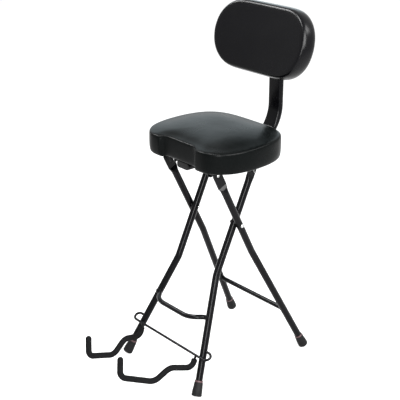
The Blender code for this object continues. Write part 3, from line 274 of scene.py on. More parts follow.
bar_left = leg_line(CROSSBAR_HEIGHT, -1, *REAR_LEG)
bar_reach = -bar_left.x - LEG_TUBE / 2 + BAR_BITE
bar_line = [Vector((x, bar_left.y, bar_left.z)) for x in (-bar_reach, 0, bar_reach)]
bar = drawn_tube("crossbar_tube", bar_line, BAR_TUBE, 8)
beads = []
bead_steps = 24
for side in (-1, 1):
    ring = []
    for step in range(bead_steps):
        angle = math.tau * step / bead_steps
        y = BAR_TUBE / 2 * math.cos(angle)
        z = BAR_TUBE / 2 * math.sin(angle)
        leg_bulge = math.sqrt((LEG_TUBE / 2) ** 2 - min(abs(y), LEG_TUBE / 2) ** 2)
        lean_in = -z * (REAR_FOOT_X - REAR_LEG_X) / REAR_BEND_HEIGHT
        x = -bar_left.x - leg_bulge * 1.02 + lean_in + BEAD_RIPPLE * math.sin(step * 2.4)
        ring.append(Vector((side * x, bar_left.y + y, bar_left.z + z)))
    beads.append(drawn_tube("bead", ring, WELD_BEAD, 3, closed=True))
crossbar = joined("crossbar_tube", bar, *beads)
dress(crossbar, powder_coat, "rear_frame", "black_enamel", "rear_crossbar")


# Front legs: the same tube, inside the rear pair at the crossing. Their flat top ends carry the
# spring latches under the seat.
FRONT_LEG_ANGLE = math.radians(25.0)
FRONT_LEG_X = 0.0898
FRONT_FOOT_X = 0.1741
FRONT_BEND_HEIGHT = 0.3324
FRONT_LEG = (FRONT_LEG_X, FRONT_FOOT_X, FRONT_BEND_HEIGHT, -FRONT_LEG_ANGLE)
FRONT_CREASE_DROP = 0.030
latch_pivot = Vector(frame["joints"][3]["pos_m"])
for side, hand in sides:
    front_leg = draw_leg("front_leg_tube_" + hand, side, *FRONT_LEG, latch_pivot.z, FRONT_CREASE_DROP)
    dress(front_leg, powder_coat, "front_frame", "black_enamel", "front_leg_" + hand)


# Trim rings: thin dull rose bands of moulded plastic, pushed up each leg until they sit on the top
# edge of its boot. The boots stand on their worn edges, which sets how high the rings are.
RING_RADIUS = 0.0128
RING_HEIGHT = 0.005
RING_EDGE = 0.0008
BOOT_HEIGHT = 0.042
BOOT_RADIUS = 0.0157
BOOT_EDGE = 0.0025
BOOT_WEAR = 0.0012
GAP = 0.0003

# Moulded polypropylene: an even colour with a faint mottle, and a soft satin skin.
rose_plastic, shader, coordinates = new_finish("dull_rose_polypropylene", "#2C1014", 0.46)
mottle = add_node(rose_plastic, "TexNoise", Vector=coordinates, Scale=260.0, Detail=3.0)
tint = add_node(rose_plastic, "Mix", {"data_type": "RGBA"}, i0=mottle.outputs["Fac"],
                i6=linear("#240C10"), i7=linear("#34161A"))
bump = add_node(rose_plastic, "Bump", Height=mottle.outputs["Fac"], Strength=0.3, Distance=0.0001)
fill(rose_plastic, shader, Base_Color=tint.outputs[2], Normal=bump.outputs["Normal"])


def turned(name, profile, facets=48, closed=False, smooth_angle=35.0):
    """A round piece drawn up the Z axis from its profile of (radius, height), ring after ring."""
    bpy.ops.object.select_all(action="DESELECT")
    radius, height = profile[0]
    bpy.ops.mesh.primitive_circle_add(vertices=facets, radius=radius, location=(0, 0, height),
                                      fill_type="NOTHING" if closed else "NGON")
    obj = bpy.context.object
    obj.name = name
    bpy.ops.object.transform_apply(location=True, rotation=True, scale=True)
    bpy.ops.object.mode_set(mode="EDIT")
    rows = profile + [profile[0]] if closed else profile
    for (radius, height), (next_radius, next_height) in zip(rows, rows[1:]):
        share = next_radius / radius
        bpy.ops.mesh.extrude_region_move(TRANSFORM_OT_translate={"value": (0, 0, next_height - height)})
        bpy.ops.transform.resize(value=(share, share, 1), center_override=(0, 0, next_height))
    bpy.ops.object.mode_set(mode="OBJECT")
    return close_up(obj, smooth_angle)


def stand(obj, place, direction):
    """Stand a piece that was drawn up the Z axis at a place, along a direction."""
    turn = Vector((0, 0, 1)).rotation_difference(Vector(direction).normalized()).to_matrix().to_4x4()
    obj.data.transform(turn)
    obj.data.transform(Matrix.Translation(place))
    return obj


# where each boot stands: its base, the way up its leg, and the body that carries it
feet = {}
for side, hand in sides:
    for pair, leg in (("rear", REAR_LEG), ("front", FRONT_LEG)):
        foot = leg_line(0, side, *leg)
        way = (leg_line(0.1, side, *leg) - foot).normalized()
        lean = way.angle(Vector((0, 0, 1)))
        lift = (BOOT_RADIUS - BOOT_EDGE) * math.sin(lean) + BOOT_EDGE * (1 - math.cos(lean)) - BOOT_WEAR
        base = foot + way * (lift / way.z)
        feet[pair + "_boot_" + hand] = (base, way, pair + "_frame")

leg_hole = LEG_TUBE / 2 + GAP
band_low = BOOT_HEIGHT + GAP
band_high = band_low + RING_HEIGHT
band_profile = [(leg_hole, band_low), (RING_RADIUS - 0.0006, band_low)]
band_profile += [(RING_RADIUS, band_low + 0.0006), (RING_RADIUS, band_high - RING_EDGE)]
band_profile += [(RING_RADIUS - RING_EDGE, band_high), (leg_hole, band_high)]
for boot_name, (base, way, body) in feet.items():
    band = turned(boot_name.replace("boot", "trim_band"), band_profile, 64, closed=True)
    stand(band, base, way)
    dress(band, rose_plastic, body, "rose_trim", boot_name.replace("boot", "ring"))


# Boots: moulded charcoal rubber ferrules pushed over the tube ends, blunt and slightly flared,
# worn flat where they meet the floor, with two fine mould rings above the sole.
BOOT_TOP_RADIUS = 0.0134

# Moulded rubber: charcoal, with a dusty bloom, a 0.5 mm spark-eroded grain and paler scuffs in
# the last 12 mm above the floor.
boot_rubber, shader, coordinates = new_finish("charcoal_moulded_rubber", "#0B0B0C", 0.60)
bloom = add_node(boot_rubber, "TexNoise", Vector=coordinates, Scale=90.0, Detail=5.0)
height = add_node(boot_rubber, "SeparateXYZ", Vector=coordinates)
scuff = add_node(boot_rubber, "MapRange", Value=height.outputs["Z"], From_Min=0.0, From_Max=0.012,
                 To_Min=0.9, To_Max=0.0)
dust = add_node(boot_rubber, "Math", {"operation": "MULTIPLY_ADD"}, i0=bloom.outputs["Fac"],
                i1=scuff.outputs["Result"], i2=0.12)
tint = add_node(boot_rubber, "Mix", {"data_type": "RGBA"}, i0=dust.outputs["Value"],
                i6=linear("#050506"), i7=linear("#141414"))
grain = add_node(boot_rubber, "TexNoise", Vector=coordinates, Scale=1900.0, Detail=1.0)
bump = add_node(boot_rubber, "Bump", Height=grain.outputs["Fac"], Strength=0.5, Distance=0.0002)
fill(boot_rubber, shader, Base_Color=tint.outputs[2], Normal=bump.outputs["Normal"],
     Specular_IOR_Level=0.12)

# the sole's rounded edge, the two mould rings, the lip, and the socket for the tube
boot_profile = [(BOOT_RADIUS - inward, height) for inward, height in (
    (0.0045, 0.0), (BOOT_EDGE, 0.0), (0.0012, 0.0004), (0.0003, 0.0013), (0.0, 0.0026), (0.0, 0.0075),
    (0.0005, 0.0079), (0.0005, 0.0087), (0.0, 0.0091), (0.0001, 0.0125), (0.0006, 0.0129),
    (0.0006, 0.0137), (0.0001, 0.0141),
)]
boot_profile += [(BOOT_TOP_RADIUS - inward, height) for inward, height in (
    (-0.0002, 0.0385), (0.0, 0.0405), (0.0004, 0.0415), (0.0011, BOOT_HEIGHT),
)]
boot_profile += [(leg_hole, BOOT_HEIGHT), (leg_hole, BOOT_SOLE), (0.0005, BOOT_SOLE)]
for boot_name, (base, way, body) in feet.items():
    boot = turned("moulded_" + boot_name, boot_profile, 64)
    stand(boot, base, way)
    bpy.ops.object.mode_set(mode="EDIT")
    bpy.ops.mesh.select_all(action="SELECT")
    bpy.ops.mesh.bisect(plane_co=(0, 0, 0), plane_no=(0, 0, 1), clear_inner=True, use_fill=True)
    bpy.ops.object.mode_set(mode="OBJECT")
    dress(boot, boot_rubber, body, "black_rubber", boot_name)


# Bolts where the legs cross: M6 button-headed bolts, bright zinc plated, through both tubes, with
# a plastic washer between them and a thin blackened nut inside.
M6 = 0.006
M6_CLEAR = 0.0066
NUT_ACROSS = 0.010
NUT_BORE = 0.0063
# a bolt head's width and height
CROSSING_HEAD = (0.0115, 0.0035)
CROSSING_NUT_HEIGHT = 0.0032
CROSSING_BOLT_TRIM = 0.002

# Zinc plate: pale cool grey metal with fine 2 mm clouding from the bath.
zinc_plate, shader, coordinates = new_finish("bright_zinc_plate", "#A4A5A6", 0.30, 1.0)
clouds = add_node(zinc_plate, "TexNoise", Vector=coordinates, Scale=480.0, Detail=3.0)
spread = add_node(zinc_plate, "MapRange", Value=clouds.outputs["Fac"], To_Min=0.20, To_Max=0.42)
tint = add_node(zinc_plate, "Mix", {"data_type": "RGBA"}, i0=clouds.outputs["Fac"],
                i6=linear("#8C8E90"), i7=linear("#CDCDCB"))
fill(zinc_plate, shader, Base_Color=tint.outputs[2], Roughness=spread.outputs["Result"])

# Black nylon and ABS: even black with a fine moulded grain of about 0.6 mm.
black_nylon, shader, coordinates = new_finish("black_moulded_nylon", "#0B0B0C", 0.45)
grain = add_node(black_nylon, "TexNoise", Vector=coordinates, Scale=1600.0, Detail=2.0)
bump = add_node(black_nylon, "Bump", Height=grain.outputs["Fac"], Strength=0.4, Distance=0.0001)
uneven = add_node(black_nylon, "MapRange", Value=grain.outputs["Fac"], To_Min=0.36, To_Max=0.56)
fill(black_nylon, shader, Roughness=uneven.outputs["Result"], Normal=bump.outputs["Normal"],
     Specular_IOR_Level=0.15)


def domed_bolt(name, place, direction, shank, reach, head, height):
    """A bolt from its shank's end up to its dome and drive recess; place is under the head."""
    profile = [(shank / 2 - 0.0004, -reach), (shank / 2, -reach + 0.0004), (shank / 2, 0)]
    profile += [(head / 2 - 0.0003, 0), (head / 2, 0.0003), (head / 2, height * 0.35)]
    dome_steps = 7
    for step in range(1, dome_steps + 1):
        angle = math.radians(62.0) * step / dome_steps
        profile.append((head / 2 * math.cos(angle), height * (0.35 + 0.65 * math.sin(angle))))
    recess = profile[-1][0] - 0.0003
    profile += [(recess, profile[-1][1]), (recess - 0.0002, height * 0.3)]
    return stand(turned(name, profile, 40), place, direction)


def hex_nut(name, place, direction, across, height, bore):
    """A hexagon nut with chamfered corners, from a place along a direction."""
    flat = across / 2
    corner = flat / math.cos(math.pi / 6)
    profile = [(bore / 2, 0.0004), (bore / 2 + 0.0004, 0), (flat * 0.96, 0), (corner, 0.0008)]
    profile += [(corner, height - 0.0008), (flat * 0.96, height), (bore / 2 + 0.0004, height)]
    profile += [(bore / 2, height - 0.0004)]
    nut = turned(name, profile, 48, closed=True, smooth_angle=20.0)
    for vertex in nut.data.vertices:
        reach = math.hypot(vertex.co.x, vertex.co.y)
        angle = math.atan2(vertex.co.y, vertex.co.x) % (math.pi / 3) - math.pi / 6
        limit = flat / math.cos(angle)
        if reach > limit:
            vertex.co.x *= limit / reach
            vertex.co.y *= limit / reach
    return stand(nut, place, direction)


def end_of(node, side):
    """The middle of the end of a CAD node that looks to one side of the stool."""
    low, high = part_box(node)
    return Vector((high.x if side > 0 else low.x, (low.y + high.y) / 2, (low.z + high.z) / 2))


def length_of(node):
    """How long a CAD node is across the stool."""
    low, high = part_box(node)
    return high.x - low.x


def plain_ring(name, node, bore):
    """A washer or spacer across the stool with eased edges, as long and wide as a CAD node."""
    low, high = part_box(node)
    length = length_of(node)
    outer = (high.z - low.z) / 2
    inside = bore / 2
    ease = min(0.0003, length / 4)
    profile = [(inside, ease), (inside + ease, 0), (outer - ease, 0), (outer, ease)]
    profile += [(outer, length - ease), (outer - ease, length), (inside + ease, length)]
    profile += [(inside, length - ease)]
    return stand(turned(name, profile, 48, closed=True), end_of(node, -1), (1, 0, 0))


def cross_bolt(name, node, side, shank, head, height, trim=0.0):
    """A domed bolt across the stool, its head outside, as long as a CAD node less a trim."""
    place = end_of(node, side) - Vector((side * height, 0, 0))
    return domed_bolt(name, place, (side, 0, 0), shank, length_of(node) - height - trim, head, height)


def cross_nut(name, node, side, height):
    """An M6 nut across the stool, against the outer face of a CAD node's place."""
    return hex_nut(name, end_of(node, side), (-side, 0, 0), NUT_ACROSS, height, NUT_BORE)


for side, hand in sides:
    node = "pivot_bolt_" + hand
    bolt = cross_bolt("crossing_bolt_" + hand, node, side, M6, *CROSSING_HEAD, CROSSING_BOLT_TRIM)
    dress(bolt, zinc_plate, "rear_frame", "zinc_steel", node)
    node = "pivot_nut_" + hand
    nut = cross_nut("crossing_nut_" + hand, node, side, CROSSING_NUT_HEIGHT)
    dress(nut, powder_coat, "rear_frame", "black_enamel", node)
    node = "pivot_washer_" + hand
    spacer = plain_ring("crossing_washer_" + hand, node, M6_CLEAR)
    dress(spacer, black_nylon, "rear_frame", "black_plastic", node)


# Footrest bar: a 15.5 mm tube across the front of the front legs, bent back at both ends, which
# are pressed flat, hollowed to sit on the legs, and screwed to them with black pan-head screws.
BAR_PRESSED = 0.0045
FOOTREST_HEIGHT = 0.2155
FOOTREST_FRONT = -0.171
FOOTREST_RUN = 0.072
FOOTREST_RADII = (0.065, 0.012)
TAB_IN = 0.012
TAB_OUT = 0.0055
TAB_STAND = LEG_TUBE / 2 + BAR_PRESSED / 2 - 0.0015
TAB_NEAR = 0.006
PRESS_START = 0.022
PRESS_RUN = 0.012
# a screw's shank, reach, head width and head height
FOOTREST_SCREW = (0.004, 0.0165, 0.008, 0.0022)


def rounded_path(corners, radii, steps):
    """Straight runs between corners, joined by tangent arcs."""
    points = [corners[0].copy()]
    for before, corner, after, radius in zip(corners, corners[1:], corners[2:], radii):
        back = (before - corner).normalized()
        ahead = (after - corner).normalized()
        half = back.angle(ahead) / 2
        centre = corner + (back + ahead).normalized() * (radius / math.sin(half))
        start = corner + back * (radius / math.tan(half)) - centre
        axis = back.cross(ahead).normalized()
        for step in range(steps + 1):
            turn = -(math.pi - 2 * half) * step / steps
            points.append(centre + Matrix.Rotation(turn, 3, axis) @ start)
    points.append(corners[-1].copy())
    return points


leg_foot = leg_line(0, 1, *FRONT_LEG)
leg_there = leg_line(FOOTREST_HEIGHT, 1, *FRONT_LEG)
leg_way = (leg_there - leg_foot).normalized()
tab_out = Vector((0, -1, 0))
tab_out = (tab_out - leg_way * tab_out.dot(leg_way)).normalized()
tab_across = leg_way.cross(tab_out)
on_leg = leg_there + tab_out * TAB_STAND
middle = Vector((0, FOOTREST_FRONT + crossing.y, FOOTREST_HEIGHT))
corners = [middle, middle + Vector((FOOTREST_RUN, 0, 0))]
corners += [on_leg - tab_across * TAB_IN, on_leg + tab_across * TAB_OUT]
half_path = rounded_path(corners, FOOTREST_RADII, 24)
# the last run is drawn in short steps, so that the press can shape it
half_path.pop()
tab_steps = 10
for step in range(tab_steps):
    along = (TAB_OUT + TAB_NEAR) * (step + 1) / tab_steps
    half_path.append(on_leg - tab_across * TAB_NEAR + tab_across * along)
whole_path = [Vector((-place.x, place.y, place.z)) for place in half_path[:0:-1]] + half_path
footrest = drawn_tube("footrest_tube", whole_path, BAR_TUBE, 8)
pressed_width = BAR_PRESSED + math.pi * (BAR_TUBE - BAR_PRESSED) / 2
for vertex in footrest.data.vertices:
    side = 1 if vertex.co.x > 0 else -1
    flip = Vector((side, 1, 1))
    place = vertex.co * flip
    near = min(half_path, key=lambda point: (point - place).length_squared)
    along = (place - on_leg).dot(tab_across)
    share = min(max((along + PRESS_START) / PRESS_RUN, 0), 1)
    share = share * share * (3 - 2 * share)
    end = min(max(along / TAB_OUT, 0), 1)
    width = 1 + (pressed_width / BAR_TUBE - 1) * share
    width *= 1 - 0.30 * share + (math.sqrt(1 - 0.75 * end * end) - 1) * share
    thickness = 1 + (BAR_PRESSED / BAR_TUBE - 1) * share
    away = place - near
    place += tab_out * away.dot(tab_out) * (thickness - 1)
    place += leg_way * away.dot(leg_way) * (width - 1)
    # the tab is hollowed to the leg's round side
    reach = place - leg_foot
    reach -= leg_way * reach.dot(leg_way)
    if reach.length < leg_hole:
        place += reach.normalized() * (leg_hole - reach.length)
    vertex.co = place * flip
close_up(footrest, 40.0)
dress(footrest, powder_coat, "front_frame", "black_enamel", "footrest_bar")
for side, hand in sides:
    flip = Vector((side, 1, 1))
    place = (on_leg + tab_out * (BAR_PRESSED / 2 + GAP)) * flip
    screw = domed_bolt("footrest_fixing_" + hand, place, tab_out * flip, *FOOTREST_SCREW)
    dress(screw, powder_coat, "front_frame", "black_enamel", "footrest_screw_" + hand)


# Cradle wire: one length of about 8 mm steel wire, which springs into a hole in the outside of
# each front leg, loops round the leg and crosses in front of both. It folds up with the arms.
CRADLE_WIRE = 0.0082
CRADLE_WIRE_DROP = math.radians(36.0)
CRADLE_LOOP_X = 0.1640
WIRE_OFF_LEG = 0.0045
cradle_pivot = Vector(frame["joints"][2]["pos_m"])
wire_stand = LEG_TUBE / 2 + WIRE_OFF_LEG
front_slope = Vector((0, math.sin(FRONT_LEG_ANGLE), math.cos(FRONT_LEG_ANGLE)))
front_normal = Vector((0, -math.cos(FRONT_LEG_ANGLE), math.sin(FRONT_LEG_ANGLE)))
loop_reach = wire_stand / math.sin(CRADLE_WIRE_DROP)
wire_offset = front_normal * wire_stand - front_slope * (loop_reach * math.cos(CRADLE_WIRE_DROP))
wire_low = cradle_pivot + wire_offset
leg_x_there = leg_line(cradle_pivot.z, 1, *FRONT_LEG).x


def wire_half(side):
    """Half of the wire, from the middle of its cross run, round its loop, to its end in the leg."""
    down = wire_offset.normalized()
    half_reach = wire_offset.length / 2
    middle = (cradle_pivot + wire_low) / 2
    points = []
    for share in (0.33, 0.66, 0.92):
        points.append(Vector((side * CRADLE_LOOP_X * share, wire_low.y, wire_low.z)))
    loop_steps = 24
    for step in range(loop_steps + 1):
        angle = math.pi * step / loop_steps
        swell = half_reach * 1.25 * math.sin(angle)
        place = middle + down * (half_reach * math.cos(angle))
        points.append(Vector((side * (CRADLE_LOOP_X + swell), place.y, place.z)))
    points.append(Vector((side * (leg_x_there + CRADLE_WIRE / 2), cradle_pivot.y, cradle_pivot.z)))
    return points


wire = drawn_tube("cradle_spring_wire", wire_half(-1)[::-1] + wire_half(1), CRADLE_WIRE, 5)
dress(wire, powder_coat, "cradle", "black_enamel", "cradle_wire")


# Cradle arms: steel rods of about 7.5 mm welded to the cross wire, bent down, up over a hump, down
# again and up at the tip, so that a guitar stands between the tips and the legs.
CRADLE_ARM_X = 0.1308
CRADLE_TOE_IN = math.radians(11.8)
ARM_SHAPE = ((0.0139, 0.0758), (0.0894, 0.0986), (0.1419, 0.0660), (0.2530, 0.1148), (0.2500, 0.1735))
ARM_RADII = (0.020, 0.036, 0.036, 0.030)
CRADLE_ROD = 0.0074
ROD_SHORT = 0.0126


def arm_path(side):
    """The centre line of a cradle arm, from the cross wire to its tip."""
    forward = Vector((-side * math.sin(CRADLE_TOE_IN), -math.cos(CRADLE_TOE_IN), 0))
    root = Vector((side * CRADLE_ARM_X, wire_low.y, 0))
    corners = [root + Vector((0, 0, wire_low.z))]
    corners += [root + forward * reach + Vector((0, 0, height)) for reach, height in ARM_SHAPE]
    return rounded_path(corners, ARM_RADII, 14)


for side, hand in sides:
    path = arm_path(side)
    back = (path[-2] - path[-1]).normalized()
    path[-1] = path[-1] + back * ROD_SHORT
    rod = drawn_tube("cradle_arm_rod_" + hand, path, CRADLE_ROD, 5)
    dress(rod, powder_coat, "cradle", "black_enamel", "cradle_rod_" + hand)


# Cradle sleeves: black closed-cell foam tubes pulled over the arms, closed at the tips, so that
# a guitar's finish isn't marked. Soft, matte, and slightly creased inside each bend.
SLEEVE = 0.0186
BARE_STUB = 0.013
SLEEVE_LIP = ((0.0002, 0.80), (0.0006, 0.92), (0.0016, 1.0))

# Nitrile foam: matte black, dusty where handled, with 0.8 mm cells.
sleeve_foam, shader, coordinates = new_finish("black_nitrile_foam", "#0C0C0D", 0.88)
cells = add_node(sleeve_foam, "TexVoronoi", Vector=coordinates, Scale=1250.0)
dusty = add_node(sleeve_foam, "TexNoise", Vector=coordinates, Scale=70.0, Detail=4.0)
tint = add_node(sleeve_foam, "Mix", {"data_type": "RGBA"}, i0=dusty.outputs["Fac"],
                i6=linear("#080808"), i7=linear("#111112"))
bump = add_node(sleeve_foam, "Bump", Height=cells.outputs["Distance"], Strength=0.6, Distance=0.0002)
fill(sleeve_foam, shader, Base_Color=tint.outputs[2], Normal=bump.outputs["Normal"],
     Specular_IOR_Level=0.10, IOR=1.2)


def shortened(path, cut):
    """A path with a length taken off its start."""
    points = list(path)
    while (points[1] - points[0]).length <= cut:
        cut -= (points[1] - points[0]).length
        points.pop(0)
    points[0] = points[0] + (points[1] - points[0]).normalized() * cut
    return points


for side, hand in sides:
    path = shortened(arm_path(side), BARE_STUB)
    start_way = (path[1] - path[0]).normalized()
    tip_way = (path[-1] - path[-2]).normalized()
    rows = [(path[0] + start_way * reach, swell) for reach, swell in SLEEVE_LIP]
    rows += [(place, 1.0) for place in path[1:]]
    tip_steps = 8
    for step in range(1, tip_steps + 1):
        angle = math.radians(86.0) * step / tip_steps
        rows.append((path[-1] + tip_way * (SLEEVE / 2 * math.sin(angle)), math.cos(angle)))
    points, swells = zip(*rows)
    sleeve = drawn_tube("foam_sleeve_" + hand, points, SLEEVE, 8, swells=swells, smooth_angle=50.0)
    dress(sleeve, sleeve_foam, "cradle", "sleeve_foam", "cradle_sleeve_" + hand)


# Seat board: 12 mm plywood sawn to the seat's outline, painted black, its edges eased. The
# cushion's foam is glued to it and its cover is stapled under it.
SEAT_HALF_WIDTH = 0.1945
SEAT_FRONT = -0.1515
SEAT_NOTCH = -0.1335
SEAT_REAR = 0.157
SEAT_BOARD = 0.012
SEAT_BOARD_INSET = 0.0185
SEAT_ABOVE_HINGE = 0.0193
seat_underside = seat_hinge.z + SEAT_ABOVE_HINGE

# Painted plywood: thin black paint, with the veneer's grain showing through as streaks of about
# 3 mm along X.
painted_ply, shader, coordinates = new_finish("black_painted_plywood", "#0F0F0E", 0.62)
stretched = add_node(painted_ply, "Mapping", Vector=coordinates, Scale=(25.0, 330.0, 330.0))
veneer = add_node(painted_ply, "TexNoise", Vector=stretched.outputs["Vector"], Scale=1.0, Detail=4.0)
tint = add_node(painted_ply, "Mix", {"data_type": "RGBA"}, i0=veneer.outputs["Fac"],
                i6=linear("#0B0B0A"), i7=linear("#141312"))
bump = add_node(painted_ply, "Bump", Height=veneer.outputs["Fac"], Strength=0.2, Distance=0.0001)
fill(painted_ply, shader, Base_Color=tint.outputs[2], Normal=bump.outputs["Normal"],
     Specular_IOR_Level=0.2)


def seat_outline(inset, spread, step_share, hollow_share):
    """The seat's outline, anticlockwise from the middle of its front, drawn in by an inset."""
    width = SEAT_HALF_WIDTH - inset
    front = SEAT_FRONT + inset
    notch = SEAT_FRONT + (SEAT_NOTCH - SEAT_FRONT) * hollow_share + inset
    depth = SEAT_REAR - inset - front
    # below the roll the hollow has square corners, and the cover softens them on top
    square = ((0.0, 0.0), (0.17, 0.0), (0.30, 0.01), (0.365, 0.12), (0.393, 0.42), (0.403, 0.80),
              (0.416, 0.98), (0.46, 1.0))
    soft = ((0.0, 0.0), (0.10, 0.01), (0.20, 0.05), (0.29, 0.18), (0.36, 0.38), (0.43, 0.62),
            (0.49, 0.82), (0.55, 0.96))
    body_shares = ((0.62, 0.0), (0.735, 0.038), (0.875, 0.12), (0.962, 0.235), (1.0, 0.39), (1.0, 0.49),
                   (0.992, 0.60), (0.953, 0.735), (0.86, 0.865), (0.70, 0.95), (0.48, 0.992),
                   (0.24, 1.0), (0.0, 1.0))
    right = []
    for (square_x, square_y), (soft_x, soft_y) in zip(square, soft):
        x = square_x + (soft_x - square_x) * step_share
        y = square_y + (soft_y - square_y) * step_share
        right.append((width * x, notch + (front - notch) * y))
    right += [(width * x, front + depth * y) for x, y in body_shares]
    outline = right + [(-x, y) for x, y in right[-2:0:-1]]
    middle = (SEAT_FRONT + SEAT_REAR) / 2
    return [(x * spread, middle + (y - middle) * spread) for x, y in outline]


def slab(name, outline, thickness):
    """A plate cut to an outline of points and drawn out by a thickness, which is a vector."""
    mesh = bpy.data.meshes.new(name)
    mesh.from_pydata(outline, [], [tuple(range(len(outline)))])
    obj = added(name, mesh)
    bpy.ops.object.mode_set(mode="EDIT")
    bpy.ops.mesh.select_all(action="SELECT")
    bpy.ops.mesh.extrude_region_move(TRANSFORM_OT_translate={"value": thickness})
    bpy.ops.object.mode_set(mode="OBJECT")
    return close_up(obj, 30.0)


def eased(obj, width, segments=2):
    """Ease a piece's sharp edges with a small bevel."""
    bevel = obj.modifiers.new("Bevel", "BEVEL")
    bevel.width = width
    bevel.segments = segments
    bevel.limit_method = "ANGLE"
    bevel.angle_limit = math.radians(40.0)
    bpy.context.view_layer.objects.active = obj
    bpy.ops.object.modifier_apply(modifier=bevel.name)
    return close_up(obj, 50.0)


flat_outline = seat_outline(SEAT_BOARD_INSET, 1.0, 0.0, 1.0)
outline = [Vector((x, y + crossing.y, seat_underside)) for x, y in flat_outline]
seat_board = eased(slab("seat_plywood", outline, Vector((0, 0, SEAT_BOARD))), 0.001)
dress(seat_board, painted_ply, "seat", "painted_board", "seat_board")


# Seat cushion: moulded foam on the board under stretched black vinyl, hollow at the front, with
# full rounded corners. Its upper edge is a firm roll, and the cover turns under and is stapled.
SEAT_TUCK = 0.009
SEAT_SIDE_RISE = 0.0635
SEAT_CROWN_RISE = 0.0145
SEAT_REAR_RISE = 0.006


def vinyl(name, colour, roughness, grain, swell, shine, level):
    """Leather-look vinyl from its pebble grain, its slow unevenness and its range of roughness."""
    material, shader, coordinates = new_finish(name, colour, roughness)
    pebbles = add_node(material, "TexVoronoi", {"feature": "SMOOTH_F1"}, Vector=coordinates,
                       Scale=450.0)
    fine = add_node(material, "Bump", Height=pebbles.outputs["Distance"], Strength=grain[0],
                    Distance=grain[1])
    slow = add_node(material, "TexNoise", Vector=coordinates, Scale=swell[0], Detail=2.0)
    uneven = add_node(material, "Bump", Height=slow.outputs["Fac"], Strength=swell[1], Distance=0.003,
                      Normal=fine.outputs["Normal"])
    spread = add_node(material, "MapRange", Value=slow.outputs["Fac"], To_Min=shine[0], To_Max=shine[1])
    fill(material, shader, Roughness=spread.outputs["Result"], Normal=uneven.outputs["Normal"],
         Specular_IOR_Level=level, IOR=1.3)
    return material


# Glossy leather-look vinyl: near black, a 2.2 mm pebble grain that is shallow enough to leave a
# broad soft sheen, and a slow 60 mm unevenness from the foam under it.
seat_vinyl = vinyl("glossy_black_vinyl", "#020303", 0.30, (0.18, 0.00025), (16.0, 0.25), (0.24, 0.34),
                   0.12)


def skinned(name, rows):
    """A closed skin over rows of points, each row a ring."""
    count = len(rows[0])
    points = [point for row in rows for point in row]
    faces = []
    for start in range(0, (len(rows) - 1) * count, count):
        for i in range(count):
            j = (i + 1) % count
            faces.append((start + i, start + j, start + count + j, start + count + i))
    faces.append(tuple(range(count))[::-1])
    faces.append(tuple(range((len(rows) - 1) * count, len(rows) * count)))
    mesh = bpy.data.meshes.new(name)
    mesh.from_pydata(points, [], faces)
    return close_up(added(name, mesh), 30.0)


def padded_form(name, rows):
    """A soft form: a skin over rows of points, smoothed by subdivision."""
    obj = close_up(skinned(name, rows), 180.0)
    rounding = obj.modifiers.new("Subdivision", "SUBSURF")
    rounding.levels = 3
    rounding.render_levels = 3
    bpy.ops.object.modifier_apply(modifier=rounding.name)
    return obj


# rows from the board's recess round the underside and up to the crown: the draw-in in tucks, the
# spread, the height in shares of the side's rise and of the crown's, how soft the hollow's corners
# are, and how much of the hollow is left
seat_rows = []
for draw_in, spread, side_share, crown_share, step_share, hollow_share in (
    (3.2, 1.0, 0.20, 0.0, 0.0, 1.0), (2.3, 1.0, 0.20, 0.0, 0.0, 1.0), (2.03, 1.0, 0.19, 0.0, 0.0, 1.0),
    (2.03, 1.0, 0.01, 0.0, 0.0, 1.0), (1.90, 1.0, 0.0, 0.0, 0.0, 1.0), (0.72, 1.0, 0.0, 0.0, 0.0, 1.0),
    (0.15, 1.0, 0.05, 0.0, 0.0, 1.0), (-0.08, 1.0, 0.25, 0.0, 0.0, 1.0),
    (-0.10, 1.0, 0.60, 0.0, 0.0, 1.0), (-0.07, 1.0, 0.90, 0.0, 0.15, 1.0),
    (0.03, 1.0, 0.985, 0.0, 0.5, 1.0), (0.32, 1.0, 1.02, 0.0, 0.8, 1.0),
    (0.9, 1.0, 1.03, 0.06, 1.0, 0.97), (1.7, 0.99, 1.02, 0.18, 1.0, 0.88),
    (2.0, 0.92, 1.0, 0.42, 1.0, 0.70), (2.0, 0.80, 1.0, 0.68, 1.0, 0.50),
    (2.0, 0.60, 1.0, 0.93, 1.0, 0.25), (2.0, 0.36, 1.0, 1.05, 1.0, 0.0),
    (2.0, 0.15, 1.0, 1.08, 1.0, 0.0),
):
    row = []
    for x, y in seat_outline(SEAT_TUCK * draw_in, spread, step_share, hollow_share):
        height = SEAT_SIDE_RISE * side_share + SEAT_CROWN_RISE * crown_share
        height += SEAT_REAR_RISE * (y - SEAT_FRONT) / (SEAT_REAR - SEAT_FRONT) * side_share
        row.append(Vector((x, y + crossing.y, seat_underside + height)))
    seat_rows.append(row)
seat = padded_form("seat_padding", seat_rows)
dress(seat, seat_vinyl, "seat", "black_vinyl", "seat_cushion")


# Side channels: 2.5 mm pressed steel under the seat, screwed up into the board. The deep outer
# flange has a rounded lobe round the hinge bolt and one round the latch pin.
CHANNEL_WALL = 0.0025
CHANNEL_LOBE = 0.013
CHANNEL_DEPTH = 0.024
CHANNEL_INNER_DEPTH = 0.022
CHANNEL_PAST_HINGE = 0.016
CHANNEL_PAST_LATCH = 0.027
LOBE_RUN = 0.022
# the cutters pass the channel's ends, and they start at a height that is well below it
CUT_PAST = 0.02
CUT_LOW = 0.5
# a screw's shank, head width and head height
CHANNEL_SCREW = (0.005, 0.010, 0.003)
channel_top = seat_underside - GAP
channel_bottom = seat_underside - CHANNEL_DEPTH
channel_inner_bottom = seat_underside - CHANNEL_INNER_DEPTH
channel_front = seat_hinge.y - CHANNEL_PAST_HINGE
channel_rear = latch_pivot.y + CHANNEL_PAST_LATCH


